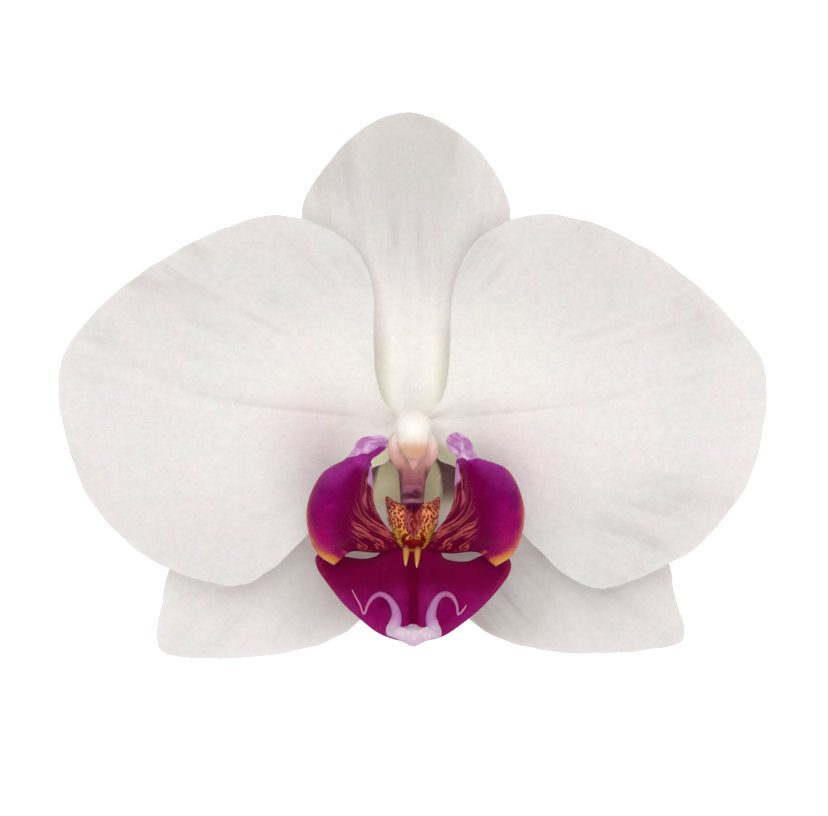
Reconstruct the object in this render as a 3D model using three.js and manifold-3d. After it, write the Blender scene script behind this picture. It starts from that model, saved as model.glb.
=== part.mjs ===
// A single moth-orchid bloom, picked with its stalk and laid on its back, face up.
// Millimetres. +X is to the viewer's right of the face, +Y points along the dorsal sepal, +Z out of the face.
// The bloom is laid out in its own frame, whose origin is where its organs meet. It is moved at the end, so
// that the exported origin is the middle of the bounding box's underside, on the surface it rests on.
import * as THREE from "three";
import { mergeVertices } from "three/addons/utils/BufferGeometryUtils.js";
import Module from "manifold-3d";

const wasm = await Module();
wasm.setup();

// ---------------------------------------------------------------- driving dimensions, in millimetres
const clearance = 0.35; // kept between organs that meet

const tepal = { thickness: 0.9, rim: 0.4 }; // petals and sepals, in the middle and at their margins

const petal = {
  reach: 45.2, // from claw to outer margin
  breadth: 50.2, // across, from upper to lower margin
  clawHeight: 1.0, // above the plane where the organs meet
  shoulder: 1.9, // how far the blade rises past its claw
  shoulderRun: 7, // and over what distance
  sweepBack: 0.0026, // how fast the outer blade falls back, per millimetre
  creaseDepth: 0.45, // the midrib's furrow
  creaseWidth: 1.6,
  creaseSlope: 0.1, // the midrib climbs this much per millimetre outwards
};

const sepalDepth = 1.0; // how far the sepals lie behind the plane where the organs meet

const dorsal = {
  reach: 39.8, // from its base to its tip
  breadth: 28.2,
  sweepBack: 0.0011,
  arch: 0.007, // how fast its sides fall away from its midline
};

const lateral = {
  reach: 33, // sideways, from its base to its tip
  breadth: 28.6, // downwards, from its upper margin to its lower
  base: [1.5, -3.2], // its inner corner
  bend: 2.1, // how late along its length it turns down to the surface
};

const pedicel = {
  radius: 1.4,
  ovaryRadius: 1.95, // the swollen part next to the bloom
  crownRadius: 2.7, // the top of the ovary, under the sepals
  length: 33, // how far the cut end lies behind the bloom's centre
  drop: 7.6, // how far its lying part is below the meeting plane
};

const pollinia = { radius: 0.58, spread: 0.6, height: 0.3 }; // height of their middle above the anther's seat

const cap = {
  wall: 0.85,
  height: 2.5,
  beak: 4.9, // reach of its beak below the bloom's centre
};

const column = {
  height: 8.6, // from the meeting plane to the seat of the anther cap
  back: 1.6, // its back edge, above the bloom's centre
  waist: 2.2, // half its width between the petals
  ledge: 0.15, // how far it stands out around the cap
  footLength: 9.5, // how far its foot reaches towards the lip
  rostellum: 6.8, // reach of the small beak under the anther cap
};

const lip = {
  thickness: 0.8,
  rim: 0.35,
  baseHeight: 5.0, // the midlobe's upper margin above the meeting plane
  tipHeight: 10.4, // its tip
  wingDroop: 0.012, // how fast its two sides fall back from the keel
  lobeRise: 7.0, // how far the side lobes stand above their base
  lobeRun: 4.2, // distance over which they rise
  rightLobeScale: 1.05, // the right side lobe is a little larger than the left
  earRise: 1.3, // the curl of the pale tips of the side lobes
  callusHeight: 2.7, // ridges of the callus above the midlobe
  callusSink: 0.3, // how far the callus is rooted in the lip
  cirrusRadius: 0.52, // the two tendrils at their root
  cirrusTipRadius: 0.2,
};

const fineness = { tepalSegments: 44, lipSegments: 36, tubeSides: 6, stalkSides: 12, columnSides: 20 };

// ---------------------------------------------------------------- sizes that follow from them
const pollenHalf = [1.12, 1.2, 1].map((share) => share * pollinia.radius);
const pollenCentre = [0, -0.5];
const strapReach = 1.15; // half the length of the strap that carries the pollinia
const strapCentre = pollenCentre[1] - 0.9;

// The chamber around the pollinia, which the column's seat and the cap share.
const chamberTop = pollenCentre[1] + pollenHalf[1] + 2 * clearance;
const chamberEnd = strapCentre - strapReach - clearance;
const chamberHalf = [
  pollinia.spread + pollenHalf[0] + clearance,
  (chamberTop - chamberEnd) / 2,
  pollinia.radius + clearance,
];

const capRadius = chamberHalf[0] + cap.wall;
const columnRadius = capRadius + column.ledge;
const capSeat = column.height + clearance;
const crownHeight = -sepalDepth - tepal.thickness / 2 - clearance; // top of the ovary
const lyingHeight = -pedicel.drop; // the middle of the stalk's lying part
const restHeight = lyingHeight - pedicel.radius; // the surface the bloom lies on
const lipRoot = -column.footLength - clearance; // where the lip's claw begins

// ---------------------------------------------------------------- outlines
// Each is a closed ring of points, as fractions of reach and breadth. Those of the petals and lateral sepals
// start at the claw and run round, with the first number outwards and the second upwards.
const petalRing = {
  left: [
    [0, 0.03], [0.03, 0.08], [0.054, 0.16], [0.058, 0.27], [0.06, 0.355], [0.09, 0.435], [0.16, 0.502],
    [0.276, 0.555], [0.385, 0.564], [0.552, 0.522], [0.735, 0.424], [0.864, 0.325], [0.965, 0.205],
    [1, 0.11], [0.985, 0], [0.942, -0.125], [0.882, -0.223], [0.777, -0.321], [0.66, -0.39], [0.53, -0.43],
    [0.465, -0.435], [0.41, -0.415], [0.305, -0.341], [0.15, -0.175], [0.065, -0.118], [0.02, -0.1],
    [0.008, -0.05],
  ],
  right: [
    [0, 0.03], [0.027, 0.08], [0.046, 0.15], [0.05, 0.25], [0.056, 0.34], [0.085, 0.44], [0.142, 0.5],
    [0.236, 0.546], [0.33, 0.562], [0.437, 0.548], [0.537, 0.52], [0.668, 0.454], [0.808, 0.358],
    [0.915, 0.26], [0.982, 0.165], [1, 0.09], [0.988, 0], [0.96, -0.094], [0.91, -0.191], [0.788, -0.321],
    [0.692, -0.38], [0.585, -0.432], [0.5, -0.448], [0.405, -0.414], [0.28, -0.31], [0.14, -0.17],
    [0.065, -0.118], [0.02, -0.1], [0.008, -0.05],
  ],
};

// The dorsal sepal's ring has the first number across and the second up from its base.
const dorsalRing = [
  [0, 0], [-0.12, 0.005], [-0.17, 0.05], [-0.21, 0.14], [-0.3, 0.28], [-0.42, 0.44], [-0.49, 0.58],
  [-0.5, 0.68], [-0.46, 0.78], [-0.37, 0.88], [-0.23, 0.96], [-0.03, 1], [0.17, 0.97], [0.34, 0.89],
  [0.44, 0.8], [0.495, 0.7], [0.49, 0.58], [0.42, 0.44], [0.3, 0.28], [0.21, 0.14], [0.17, 0.05],
  [0.12, 0.005],
];

const lateralRing = {
  left: [
    [0, 0], [0.08, 0.05], [0.27, -0.02], [0.52, -0.12], [0.77, -0.28], [0.93, -0.45], [0.985, -0.62],
    [1, -0.78], [1.005, -0.9], [0.975, -0.96], [0.86, -0.985], [0.68, -0.985], [0.48, -0.96], [0.3, -0.9],
    [0.17, -0.79], [0.08, -0.62], [0.02, -0.42], [-0.025, -0.2], [-0.02, -0.06],
  ],
  right: [
    [0, 0], [0.08, 0.05], [0.28, -0.02], [0.54, -0.1], [0.8, -0.25], [0.97, -0.42], [1.02, -0.6],
    [1.055, -0.72], [1.07, -0.83], [1.04, -0.885], [0.9, -0.935], [0.72, -0.95], [0.5, -0.94], [0.32, -0.88],
    [0.18, -0.79], [0.08, -0.62], [0.02, -0.42], [-0.025, -0.2], [-0.02, -0.06],
  ],
};

// The lip's rings are in millimetres from the root of its claw. Those of a side lobe and its ear are for the
// right-hand one, measured from the column's side, and are mirrored for the left.
const midlobeRing = [
  [-13, -8.35], [-12.7, -9.75], [-11.7, -11.25], [-9.4, -14.15], [-7.2, -16.15], [-5.2, -17.75],
  [-3.6, -18.55], [-1.5, -19.15], [0, -19.65], [1.4, -19.15], [3.5, -18.65], [5.1, -17.85], [7.3, -16.25],
  [9.5, -14.35], [11.5, -12.15], [12.7, -10.45], [13, -9.05], [12.3, -8.35], [9, -8.65], [6.6, -8.85],
  [3.9, -8.25], [1.8, -7.15], [0, -6.65], [-1.8, -7.15], [-4.2, -8.05], [-6.9, -8.45], [-9.2, -8.15],
  [-11.6, -7.85],
];

const sideLobeRing = [
  [0.7, -4.15], [1.8, -2.65], [2.6, -0.45], [2.95, 2.15], [3.2, 4.45], [3.4, 5.35], [4.6, 5.55],
  [5.9, 4.95], [7.5, 4.25], [9.1, 3.25], [10.4, 1.85], [11.2, -0.05], [11.55, -2.15], [11.45, -4.35],
  [10.9, -6.25], [9.8, -7.95], [8.7, -8.75], [7.7, -8.95], [6.9, -8.25], [6.1, -7.45], [4.8, -7.05],
  [3.2, -7.15], [1.7, -7.85], [0.4, -8.25], [-0.7, -7.35], [-0.6, -5.75],
];

const earRing = [
  [3.1, 4.2], [2, 5.75], [0.9, 6.55], [0.5, 7.55], [1.1, 8.45], [2.5, 8.7], [3.9, 8.25], [4.6, 7.25],
  [4.65, 6.05], [4.6, 4.2],
];

const callusRing = [
  [0, -1.55], [1.5, -1.35], [2.5, -0.85], [3.3, -0.15], [3.6, -1.35], [3.4, -3.05], [2.8, -4.65],
  [2.1, -5.95], [1.1, -7.05], [0, -7.45], [-1.1, -7.05], [-2.1, -5.95], [-2.8, -4.65], [-3.4, -3.05],
  [-3.6, -1.35], [-3.3, -0.15], [-2.5, -0.85], [-1.5, -1.35],
];

// The keel's height grows from the midlobe's upper margin to its tip.
const midlobeSpan = [-7.15, -19.65];

// Centres of a side lobe's base and of its dome, and where its ear starts and ends, from the same places.
const lobeBase = [0.4, -5.65];
const lobeDome = [7.7, -0.65];
const earSpan = [5.05, 8.65];

// The tendrils: x, y and height above the midlobe at points along each, from root to end.
const cirrusLine = {
  left: [
    [-2.3, -18.15, -0.1], [-2.2, -16.65, 0.7], [-2.4, -15.05, 1.7], [-3.3, -13.75, 2.3],
    [-4.5, -13.05, 2.5], [-5.5, -13.55, 2.3], [-6.2, -14.55, 1.9], [-6.5, -15.65, 1.8], [-7, -15.15, 2.1],
    [-7.6, -13.75, 2.6], [-8.2, -12.35, 2.9],
  ],
  right: [
    [2.4, -18.15, -0.1], [2.4, -16.15, 0.9], [2.7, -14.45, 1.8], [3.5, -13.25, 2.3], [4.5, -12.75, 2.5],
    [5.3, -13.25, 2.3], [5.8, -14.35, 1.9], [6.1, -15.65, 1.8], [6.6, -15.45, 2], [7.2, -14.65, 2.4],
  ],
};

// ---------------------------------------------------------------- shape helpers
const smoothstep = (low, high, v) => {
  const t = Math.min(1, Math.max(0, (v - low) / (high - low)));
  return t * t * (3 - 2 * t);
};

// A smooth closed curve through a ring of points, as count points evenly spaced along it.
function ringPoints(ring, count) {
  const points = ring.map(([x, y]) => new THREE.Vector3(x, y, 0));
  const curve = new THREE.CatmullRomCurve3(points, true, "centripetal");
  return curve.getSpacedPoints(count).slice(0, count);
}

// A closed body from loops of equally many points, each joined to the next, with a point to close each end.
function skin(loops, first, last) {
  const count = loops[0].length;
  const places = [first, ...loops.flat(), last];
  const faces = [];
  const at = (level, i) => 1 + level * count + (i % count);
  for (let i = 0; i < count; i++) {
    faces.push(0, at(0, i + 1), at(0, i));
    faces.push(places.length - 1, at(loops.length - 1, i), at(loops.length - 1, i + 1));
    for (let k = 0; k + 1 < loops.length; k++) {
      faces.push(at(k, i), at(k, i + 1), at(k + 1, i));
      faces.push(at(k, i + 1), at(k + 1, i + 1), at(k + 1, i));
    }
  }
  const geometry = new THREE.BufferGeometry().setFromPoints(places);
  geometry.setIndex(faces);
  return facingOut(geometry);
}

// Turns a geometry's faces round if they enclose a negative volume.
function facingOut(geometry) {
  const p = geometry.getAttribute("position");
  const index = geometry.getIndex();
  const corners = [new THREE.Vector3(), new THREE.Vector3(), new THREE.Vector3()];
  let volume = 0;
  for (let i = 0; i < index.count; i += 3) {
    corners.forEach((corner, k) => corner.fromBufferAttribute(p, index.getX(i + k)));
    volume += corners[0].dot(corners[1].clone().cross(corners[2]));
  }
  if (volume < 0) {
    for (let i = 0; i < index.count; i += 3) {
      const swapped = index.getX(i + 1);
      index.setX(i + 1, index.getX(i + 2));
      index.setX(i + 2, swapped);
    }
  }
  return geometry;
}

// A body whose outline from above is a ring. The heights of its upper and lower faces are functions of x, y
// and how far out the point is, from 0 in the middle to 1 on the outline.
function plate({ ring, segments, levels, top, bottom }) {
  const outline = ringPoints(ring, segments);
  const middle = outline.reduce((sum, p) => sum.add(p), new THREE.Vector3()).divideScalar(outline.length);
  const level = (share, height) =>
    outline.map((p) => {
      const q = middle.clone().lerp(p, share);
      return q.setZ(height(q.x, q.y, share));
    });
  const out = levels.map((share) => level(share, top));
  const back = [...levels].reverse().map((share) => level(share, bottom));
  const first = middle.clone().setZ(top(middle.x, middle.y, 0));
  const last = middle.clone().setZ(bottom(middle.x, middle.y, 0));
  return skin([...out, ...back], first, last);
}

// A sheet of even thickness on either side of a mid-surface, thinning to its rim.
function blade({ ring, segments, levels, height, thickness, rim }) {
  const step = 0.05;
  const half = (x, y, share) => {
    const slopeX = (height(x + step, y) - height(x - step, y)) / (2 * step);
    const slopeY = (height(x, y + step) - height(x, y - step)) / (2 * step);
    const across = Math.hypot(1, slopeX, slopeY);
    return (across * (rim + (thickness - rim) * (1 - share ** 6))) / 2;
  };
  return plate({
    ring,
    segments,
    levels,
    top: (x, y, share) => height(x, y) + half(x, y, share),
    bottom: (x, y, share) => height(x, y) - half(x, y, share),
  });
}

// A round bar of changing radius along a smooth line through the given points.
function taperedBar(points, radiusAt, steps, sides) {
  const curve = new THREE.CatmullRomCurve3(points, false, "centripetal");
  const frames = curve.computeFrenetFrames(steps);
  const loops = [];
  for (let i = 0; i <= steps; i++) {
    const share = i / steps;
    const centre = curve.getPointAt(share);
    const radius = radiusAt(share);
    loops.push(
      Array.from({ length: sides }, (_, k) => {
        const angle = (2 * Math.PI * k) / sides;
        return centre
          .clone()
          .addScaledVector(frames.normals[i], radius * Math.cos(angle))
          .addScaledVector(frames.binormals[i], radius * Math.sin(angle));
      }),
    );
  }
  return skin(loops, curve.getPointAt(0), curve.getPointAt(1));
}

// A body stacked from level ellipses, each given as height, centre along Y, and half-widths along X and Y.
function stackedEllipses(levels, sides) {
  const loops = levels.map(([z, centreY, halfX, halfY]) =>
    Array.from({ length: sides }, (_, k) => {
      const angle = (2 * Math.PI * k) / sides;
      return new THREE.Vector3(halfX * Math.cos(angle), centreY + halfY * Math.sin(angle), z);
    }),
  );
  const [low, high] = [levels[0], levels[levels.length - 1]];
  return skin(loops, new THREE.Vector3(0, low[1], low[0]), new THREE.Vector3(0, high[1], high[0]));
}

function ellipsoid(centre, halves, detail) {
  const geometry = new THREE.SphereGeometry(1, detail, Math.ceil(detail / 2));
  return geometry.scale(...halves).translate(...centre);
}

// ---------------------------------------------------------------- solids for joining and cutting
function solid(geometry) {
  const bare = geometry.clone();
  bare.deleteAttribute("normal");
  bare.deleteAttribute("uv");
  const merged = mergeVertices(bare, 1e-4);
  return new wasm.Manifold(
    new wasm.Mesh({
      numProp: 3,
      vertProperties: new Float32Array(merged.getAttribute("position").array),
      triVerts: new Uint32Array(merged.getIndex().array),
    }),
  );
}

function geometryOf(body) {
  const mesh = body.getMesh();
  const geometry = new THREE.BufferGeometry();
  geometry.setAttribute("position", new THREE.BufferAttribute(new Float32Array(mesh.vertProperties), 3));
  geometry.setIndex(new THREE.BufferAttribute(new Uint32Array(mesh.triVerts), 1));
  return geometry;
}

const joined = (geometries) => geometryOf(geometries.map(solid).reduce((sum, next) => sum.add(next)));

// ---------------------------------------------------------------- petals and sepals
const tepalLevels = [0.3, 0.56, 0.78, 0.93, 1];

function tepalBlade(ring, height) {
  return blade({ ring, height, segments: fineness.tepalSegments, levels: tepalLevels, ...tepal });
}

// Height of a petal's mid-surface at a point, the same on both sides of the bloom.
function petalHeight(x, y) {
  const out = Math.hypot(x, y);
  const fromMidrib = y - petal.creaseSlope * Math.abs(x);
  const furrow = petal.creaseDepth * Math.exp(-((fromMidrib / petal.creaseWidth) ** 2));
  const shoulder = petal.shoulder * (1 - Math.exp(-out / petal.shoulderRun));
  return petal.clawHeight + shoulder - petal.sweepBack * out * out - furrow * smoothstep(2, 9, out);
}

function petalGeometry(side) {
  const start = column.waist + clearance;
  const sign = side === "left" ? -1 : 1;
  const ring = petalRing[side].map(([u, v]) => [sign * (start + u * petal.reach), v * petal.breadth]);
  return tepalBlade(ring, petalHeight);
}

function dorsalSepalGeometry() {
  const base = column.back + clearance;
  const ring = dorsalRing.map(([u, v]) => [u * dorsal.breadth, base + v * dorsal.reach]);
  return tepalBlade(ring, (x, y) => -sepalDepth - dorsal.sweepBack * y * y - dorsal.arch * x * x);
}

// The lateral sepals bend down to rest their tips on the surface that the stalk lies on.
function lateralSepalGeometry(side) {
  const sign = side === "left" ? -1 : 1;
  const ring = lateralRing[side].map(([u, v]) => [
    sign * (lateral.base[0] + u * lateral.reach),
    lateral.base[1] + v * lateral.breadth,
  ]);
  const farthest = Math.max(...ringPoints(ring, fineness.tepalSegments).map((p) => Math.hypot(p.x, p.y)));
  const drop = -sepalDepth - (restHeight + tepal.rim / 2);
  const bend = (x, y) => (Math.hypot(x, y) / farthest) ** lateral.bend;
  return tepalBlade(ring, (x, y) => -sepalDepth - drop * bend(x, y));
}

// ---------------------------------------------------------------- lip
// Height of the midlobe's mid-surface.
function midlobeHeight(x, y) {
  const [top, tip] = midlobeSpan;
  const share = Math.max(0, (top - y) / (top - tip));
  const groove = 0.25 * Math.exp(-((x / 0.6) ** 2));
  return lip.baseHeight + (lip.tipHeight - lip.baseHeight) * share ** 1.2 - lip.wingDroop * x * x - groove;
}

// Height of a side lobe's mid-surface: a steep inner wall that rolls over into a dome.
function sideLobeHeight(x, y) {
  const across = Math.abs(x) - columnRadius;
  const fromBase = Math.hypot(across - lobeBase[0], y - lobeBase[1]);
  const fromDome = Math.hypot(across - lobeDome[0], y - lobeDome[1]);
  const rise = lip.lobeRise * (1 - Math.exp(-((fromBase / lip.lobeRun) ** 1.6)));
  const recurve = 0.08 * Math.max(0, fromDome - 3) ** 2 * smoothstep(4, 9, fromBase);
  return lip.baseHeight - 0.2 + rise - recurve;
}

// The pale ear at the top of a side lobe curls over from the lobe's own height.
function earHeight(x, y) {
  const [start, end] = earSpan;
  const share = Math.min(1, Math.max(0, (y - start) / (end - start)));
  const root = sideLobeHeight(columnRadius + lobeDome[0] - 3.9, start);
  return root + lip.earRise * Math.sin(Math.PI * share) - 0.4 * share;
}

// The callus has two ridges that spread upwards and end in horns.
function callusHeight(x, y, share) {
  const along = smoothstep(callusRing[9][1], callusRing[3][1], y);
  const ridgeAt = 1 + 1.6 * along;
  const ridge = Math.exp(-(((Math.abs(x) - ridgeAt) / 0.85) ** 2));
  const crown = lip.callusHeight * (0.55 + 0.45 * ridge + 0.25 * along * ridge);
  return midlobeHeight(0, y) + crown * (1 - 0.7 * share ** 3);
}

const lipBlade = (shape) => blade({ thickness: lip.thickness, rim: lip.rim, ...shape });

// A side lobe and its ear, on the side that sign says.
function sideLobeGeometries(sign, scale) {
  const place = ([x, y]) => [
    sign * (columnRadius + lobeBase[0] + (x - lobeBase[0]) * scale),
    lobeBase[1] + (y - lobeBase[1]) * scale,
  ];
  const lobe = lipBlade({
    ring: sideLobeRing.map(place),
    segments: fineness.lipSegments,
    levels: [0.3, 0.55, 0.78, 0.93, 1],
    height: sideLobeHeight,
  });
  const ear = lipBlade({ ring: earRing.map(place), segments: 20, levels: [0.5, 0.85, 1], height: earHeight });
  return [lobe, ear];
}

function cirrusGeometry(side) {
  const points = cirrusLine[side].map(
    ([x, y, above]) => new THREE.Vector3(x, y, midlobeHeight(x, y) + lip.thickness / 2 + above),
  );
  const radiusAt = (share) =>
    lip.cirrusTipRadius + (lip.cirrusRadius - lip.cirrusTipRadius) * (1 - smoothstep(0.1, 0.75, share));
  return taperedBar(points, radiusAt, 26, fineness.tubeSides);
}

// A tooth below the callus, lying on the midlobe.
function toothGeometry(sign) {
  const root = callusRing[9][1] + 0.9;
  const points = [0, 1.3, 2.9].map((down) => {
    const height = midlobeHeight(1, root - down) + 0.5;
    return new THREE.Vector3(sign * (0.75 + 0.08 * down), root - down, height);
  });
  return taperedBar(points, (share) => 0.62 - 0.35 * share, 5, fineness.tubeSides);
}

// The claw that carries the lobes, from the column's foot to under the callus.
function clawGeometry() {
  const under = lip.baseHeight;
  const points = [[0, under - 1.9], [-1.8, under - 0.8], [-5.15, under - 0.1], [-8.05, under]];
  const line = points.map(([y, z]) => new THREE.Vector3(0, y, z));
  return taperedBar(line, (share) => 1.2 + 1.3 * Math.sin(Math.PI * Math.min(1, share + 0.05)), 10, 12);
}

// A cross bar that ties both side lobes to the claw at their bases.
function yokeGeometry() {
  const reach = columnRadius + lobeBase[0] + 1;
  const line = [-reach, 0, reach].map((x) => new THREE.Vector3(x, lobeBase[1], lip.baseHeight - 0.2));
  return taperedBar(line, () => lip.thickness, 8, 10);
}

function labellumGeometry() {
  const midlobe = lipBlade({
    ring: midlobeRing,
    segments: fineness.tepalSegments,
    levels: [0.28, 0.52, 0.75, 0.92, 1],
    height: midlobeHeight,
  });
  const callus = plate({
    ring: callusRing,
    segments: fineness.lipSegments,
    levels: [0.3, 0.55, 0.78, 1],
    top: callusHeight,
    bottom: (x, y) => midlobeHeight(0, y) - lip.callusSink,
  });
  const beadAt = midlobeSpan[1] + 1.2;
  const tipBead = ellipsoid([0, beadAt, midlobeHeight(0, beadAt)], [2.9, 0.9, 0.75], 14);
  const body = joined([
    midlobe,
    ...sideLobeGeometries(-1, 1),
    ...sideLobeGeometries(1, lip.rightLobeScale),
    callus,
    clawGeometry(),
    yokeGeometry(),
    toothGeometry(-1),
    toothGeometry(1),
    tipBead,
    cirrusGeometry("left"),
    cirrusGeometry("right"),
  ]);
  return body.translate(0, lipRoot, 0);
}

// ---------------------------------------------------------------- column, anther cap and pollinarium
const chamberGeometry = () => {
  const centre = [0, (chamberTop + chamberEnd) / 2, capSeat + pollinia.height];
  return ellipsoid(centre, chamberHalf, 16);
};

const hollowed = (...geometries) => geometryOf(solid(joined(geometries)).subtract(solid(chamberGeometry())));

// The small beak that points to the lip from under the anther cap.
function rostellumGeometry() {
  const line = [[-0.45, 0.84], [-0.75, 0.86], [-1, 0.8]].map(
    ([reach, rise]) => new THREE.Vector3(0, reach * column.rostellum, rise * column.height),
  );
  return taperedBar(line, (share) => 1 - 0.75 * share, 6, 10);
}

// The column stands up out of the face. Its foot reaches down to the lip.
function columnGeometry() {
  const level = (z, reach, halfX, shift) => {
    const back = column.back - shift;
    return [z, (back - reach) / 2, halfX, (back + reach) / 2];
  };
  const base = crownHeight + clearance;
  const foot = column.footLength;
  const { height, waist } = column;
  return hollowed(
    stackedEllipses(
      [
        [base, -0.6, 1.5, 1.5],
        [base + 1, -0.8, 1.8, 2],
        level(0.09 * height, foot * 0.8, waist, 0),
        level(0.3 * height, foot, waist, 0),
        level(0.46 * height, foot * 0.93, waist, 0.15),
        level(0.64 * height, foot * 0.74, (waist + columnRadius) / 2, 0.3),
        level(0.84 * height, foot * 0.57, columnRadius, 0.4),
        level(height, foot * 0.5, columnRadius, 0.5),
      ],
      fineness.columnSides,
    ),
    rostellumGeometry(),
  );
}

function antherCapRing() {
  const centre = -0.6;
  const shoulder = [0.5 * capRadius, (centre - cap.beak) * 0.62];
  const dome = Array.from({ length: 11 }, (_, k) => {
    const angle = (-25 + 23 * k) * (Math.PI / 180);
    return [capRadius * Math.cos(angle), centre + capRadius * 0.86 * Math.sin(angle)];
  });
  return [...dome, [-shoulder[0], shoulder[1]], [0, -cap.beak], shoulder];
}

function antherCapGeometry() {
  const edge = 0.25;
  return hollowed(
    plate({
      ring: antherCapRing(),
      segments: 28,
      levels: [0.3, 0.55, 0.72, 0.85, 0.95, 1],
      top: (x, y, share) => capSeat + edge + (cap.height - edge) * Math.sqrt(1 - share ** 2.4),
      bottom: () => capSeat,
    }),
  );
}

// Two pollinia on a strap that ends behind the cap's beak.
function pollinariumGeometry() {
  const z = capSeat + pollinia.height;
  const { spread } = pollinia;
  const pollen = [-spread, spread].map((x) => ellipsoid([x, pollenCentre[1], z], pollenHalf, 12));
  const strap = ellipsoid([0, strapCentre, z], [0.42, strapReach, 0.2], 10);
  return joined([...pollen, strap]);
}

// ---------------------------------------------------------------- stalk
// The ovary and pedicel leave the back of the bloom, curve under the dorsal sepal and lie along the surface.
function pedicelGeometry() {
  const line = [
    [-0.6, crownHeight],
    [-0.6, crownHeight - 0.9],
    [0.3, crownHeight - 2.5],
    [3.2, lyingHeight + 1.5],
    [7.5, lyingHeight + 0.2],
    [13, lyingHeight],
    [20, lyingHeight],
    [pedicel.length, lyingHeight],
  ].map(([y, z]) => new THREE.Vector3(0, y, z));
  const radiusAt = (share) => {
    const swell = 1 - smoothstep(0.12, 0.42, share);
    const flare = 1 - smoothstep(0, 0.09, share);
    const ovary = pedicel.radius + (pedicel.ovaryRadius - pedicel.radius) * swell;
    return ovary + (pedicel.crownRadius - pedicel.ovaryRadius) * flare;
  };
  return taperedBar(line, radiusAt, 24, fineness.stalkSides);
}

// ---------------------------------------------------------------- the bloom
const finishes = {
  tepal: new THREE.MeshStandardMaterial({ color: 0xece8e4, roughness: 0.55, metalness: 0 }),
  lip: new THREE.MeshStandardMaterial({ color: 0x7c0252, roughness: 0.5, metalness: 0 }),
  column: new THREE.MeshStandardMaterial({ color: 0xdcc4bc, roughness: 0.45, metalness: 0 }),
  cap: new THREE.MeshStandardMaterial({ color: 0xf8f0e6, roughness: 0.4, metalness: 0 }),
  pollen: new THREE.MeshStandardMaterial({ color: 0xe5ac3a, roughness: 0.35, metalness: 0 }),
  stalk: new THREE.MeshStandardMaterial({ color: 0xb9c795, roughness: 0.5, metalness: 0 }),
};

const bloom = new THREE.Group();

function add(name, geometry, material) {
  const mesh = new THREE.Mesh(geometry, material);
  mesh.name = name;
  bloom.add(mesh);
}

add("dorsal_sepal", dorsalSepalGeometry(), finishes.tepal);
add("lateral_sepal_left", lateralSepalGeometry("left"), finishes.tepal);
add("lateral_sepal_right", lateralSepalGeometry("right"), finishes.tepal);
add("petal_left", petalGeometry("left"), finishes.tepal);
add("petal_right", petalGeometry("right"), finishes.tepal);
add("labellum", labellumGeometry(), finishes.lip);
add("column", columnGeometry(), finishes.column);
add("anther_cap", antherCapGeometry(), finishes.cap);
add("pollinarium", pollinariumGeometry(), finishes.pollen);
add("pedicel", pedicelGeometry(), finishes.stalk);

// Stand the bloom on the middle of its bounding box's underside.
const extent = new THREE.Box3().setFromObject(bloom);
const middle = extent.getCenter(new THREE.Vector3());
bloom.position.set(-middle.x, -middle.y, -extent.min.z);

const orchidBloom = new THREE.Group();
orchidBloom.add(bloom);

export default orchidBloom;
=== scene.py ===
import math
from functools import partial

import bpy
import numpy as np
from bpy.props import FloatProperty, FloatVectorProperty, PointerProperty
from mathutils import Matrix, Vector, noise


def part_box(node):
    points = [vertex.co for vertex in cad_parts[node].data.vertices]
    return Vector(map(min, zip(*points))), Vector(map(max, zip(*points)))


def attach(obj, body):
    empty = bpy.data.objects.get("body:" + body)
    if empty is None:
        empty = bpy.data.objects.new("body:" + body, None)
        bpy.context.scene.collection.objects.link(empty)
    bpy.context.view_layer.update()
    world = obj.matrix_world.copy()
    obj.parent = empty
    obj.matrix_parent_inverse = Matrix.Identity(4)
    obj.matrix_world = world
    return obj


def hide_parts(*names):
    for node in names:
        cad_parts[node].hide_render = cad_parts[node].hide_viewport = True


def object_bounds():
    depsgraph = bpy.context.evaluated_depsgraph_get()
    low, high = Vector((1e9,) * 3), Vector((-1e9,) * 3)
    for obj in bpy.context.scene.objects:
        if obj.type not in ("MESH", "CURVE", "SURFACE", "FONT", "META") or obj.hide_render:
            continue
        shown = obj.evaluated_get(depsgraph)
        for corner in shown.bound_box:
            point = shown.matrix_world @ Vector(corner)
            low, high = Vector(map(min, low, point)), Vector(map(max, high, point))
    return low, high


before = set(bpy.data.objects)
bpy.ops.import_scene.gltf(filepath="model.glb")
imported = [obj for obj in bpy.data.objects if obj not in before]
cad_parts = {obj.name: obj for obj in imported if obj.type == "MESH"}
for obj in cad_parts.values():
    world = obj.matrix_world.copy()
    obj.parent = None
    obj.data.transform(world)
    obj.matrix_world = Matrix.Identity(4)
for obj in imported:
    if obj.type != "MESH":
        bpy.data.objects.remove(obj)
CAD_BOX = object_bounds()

bl_info = {
    "name": "Orchid bloom",
    "version": (1, 0, 0),
    "blender": (4, 5, 0),
    "location": "View3D > Sidebar > Orchid",
    "description": "Builds the petals, lip, column and stalk of a picked moth-orchid bloom",
    "category": "Add Mesh",
}

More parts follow.
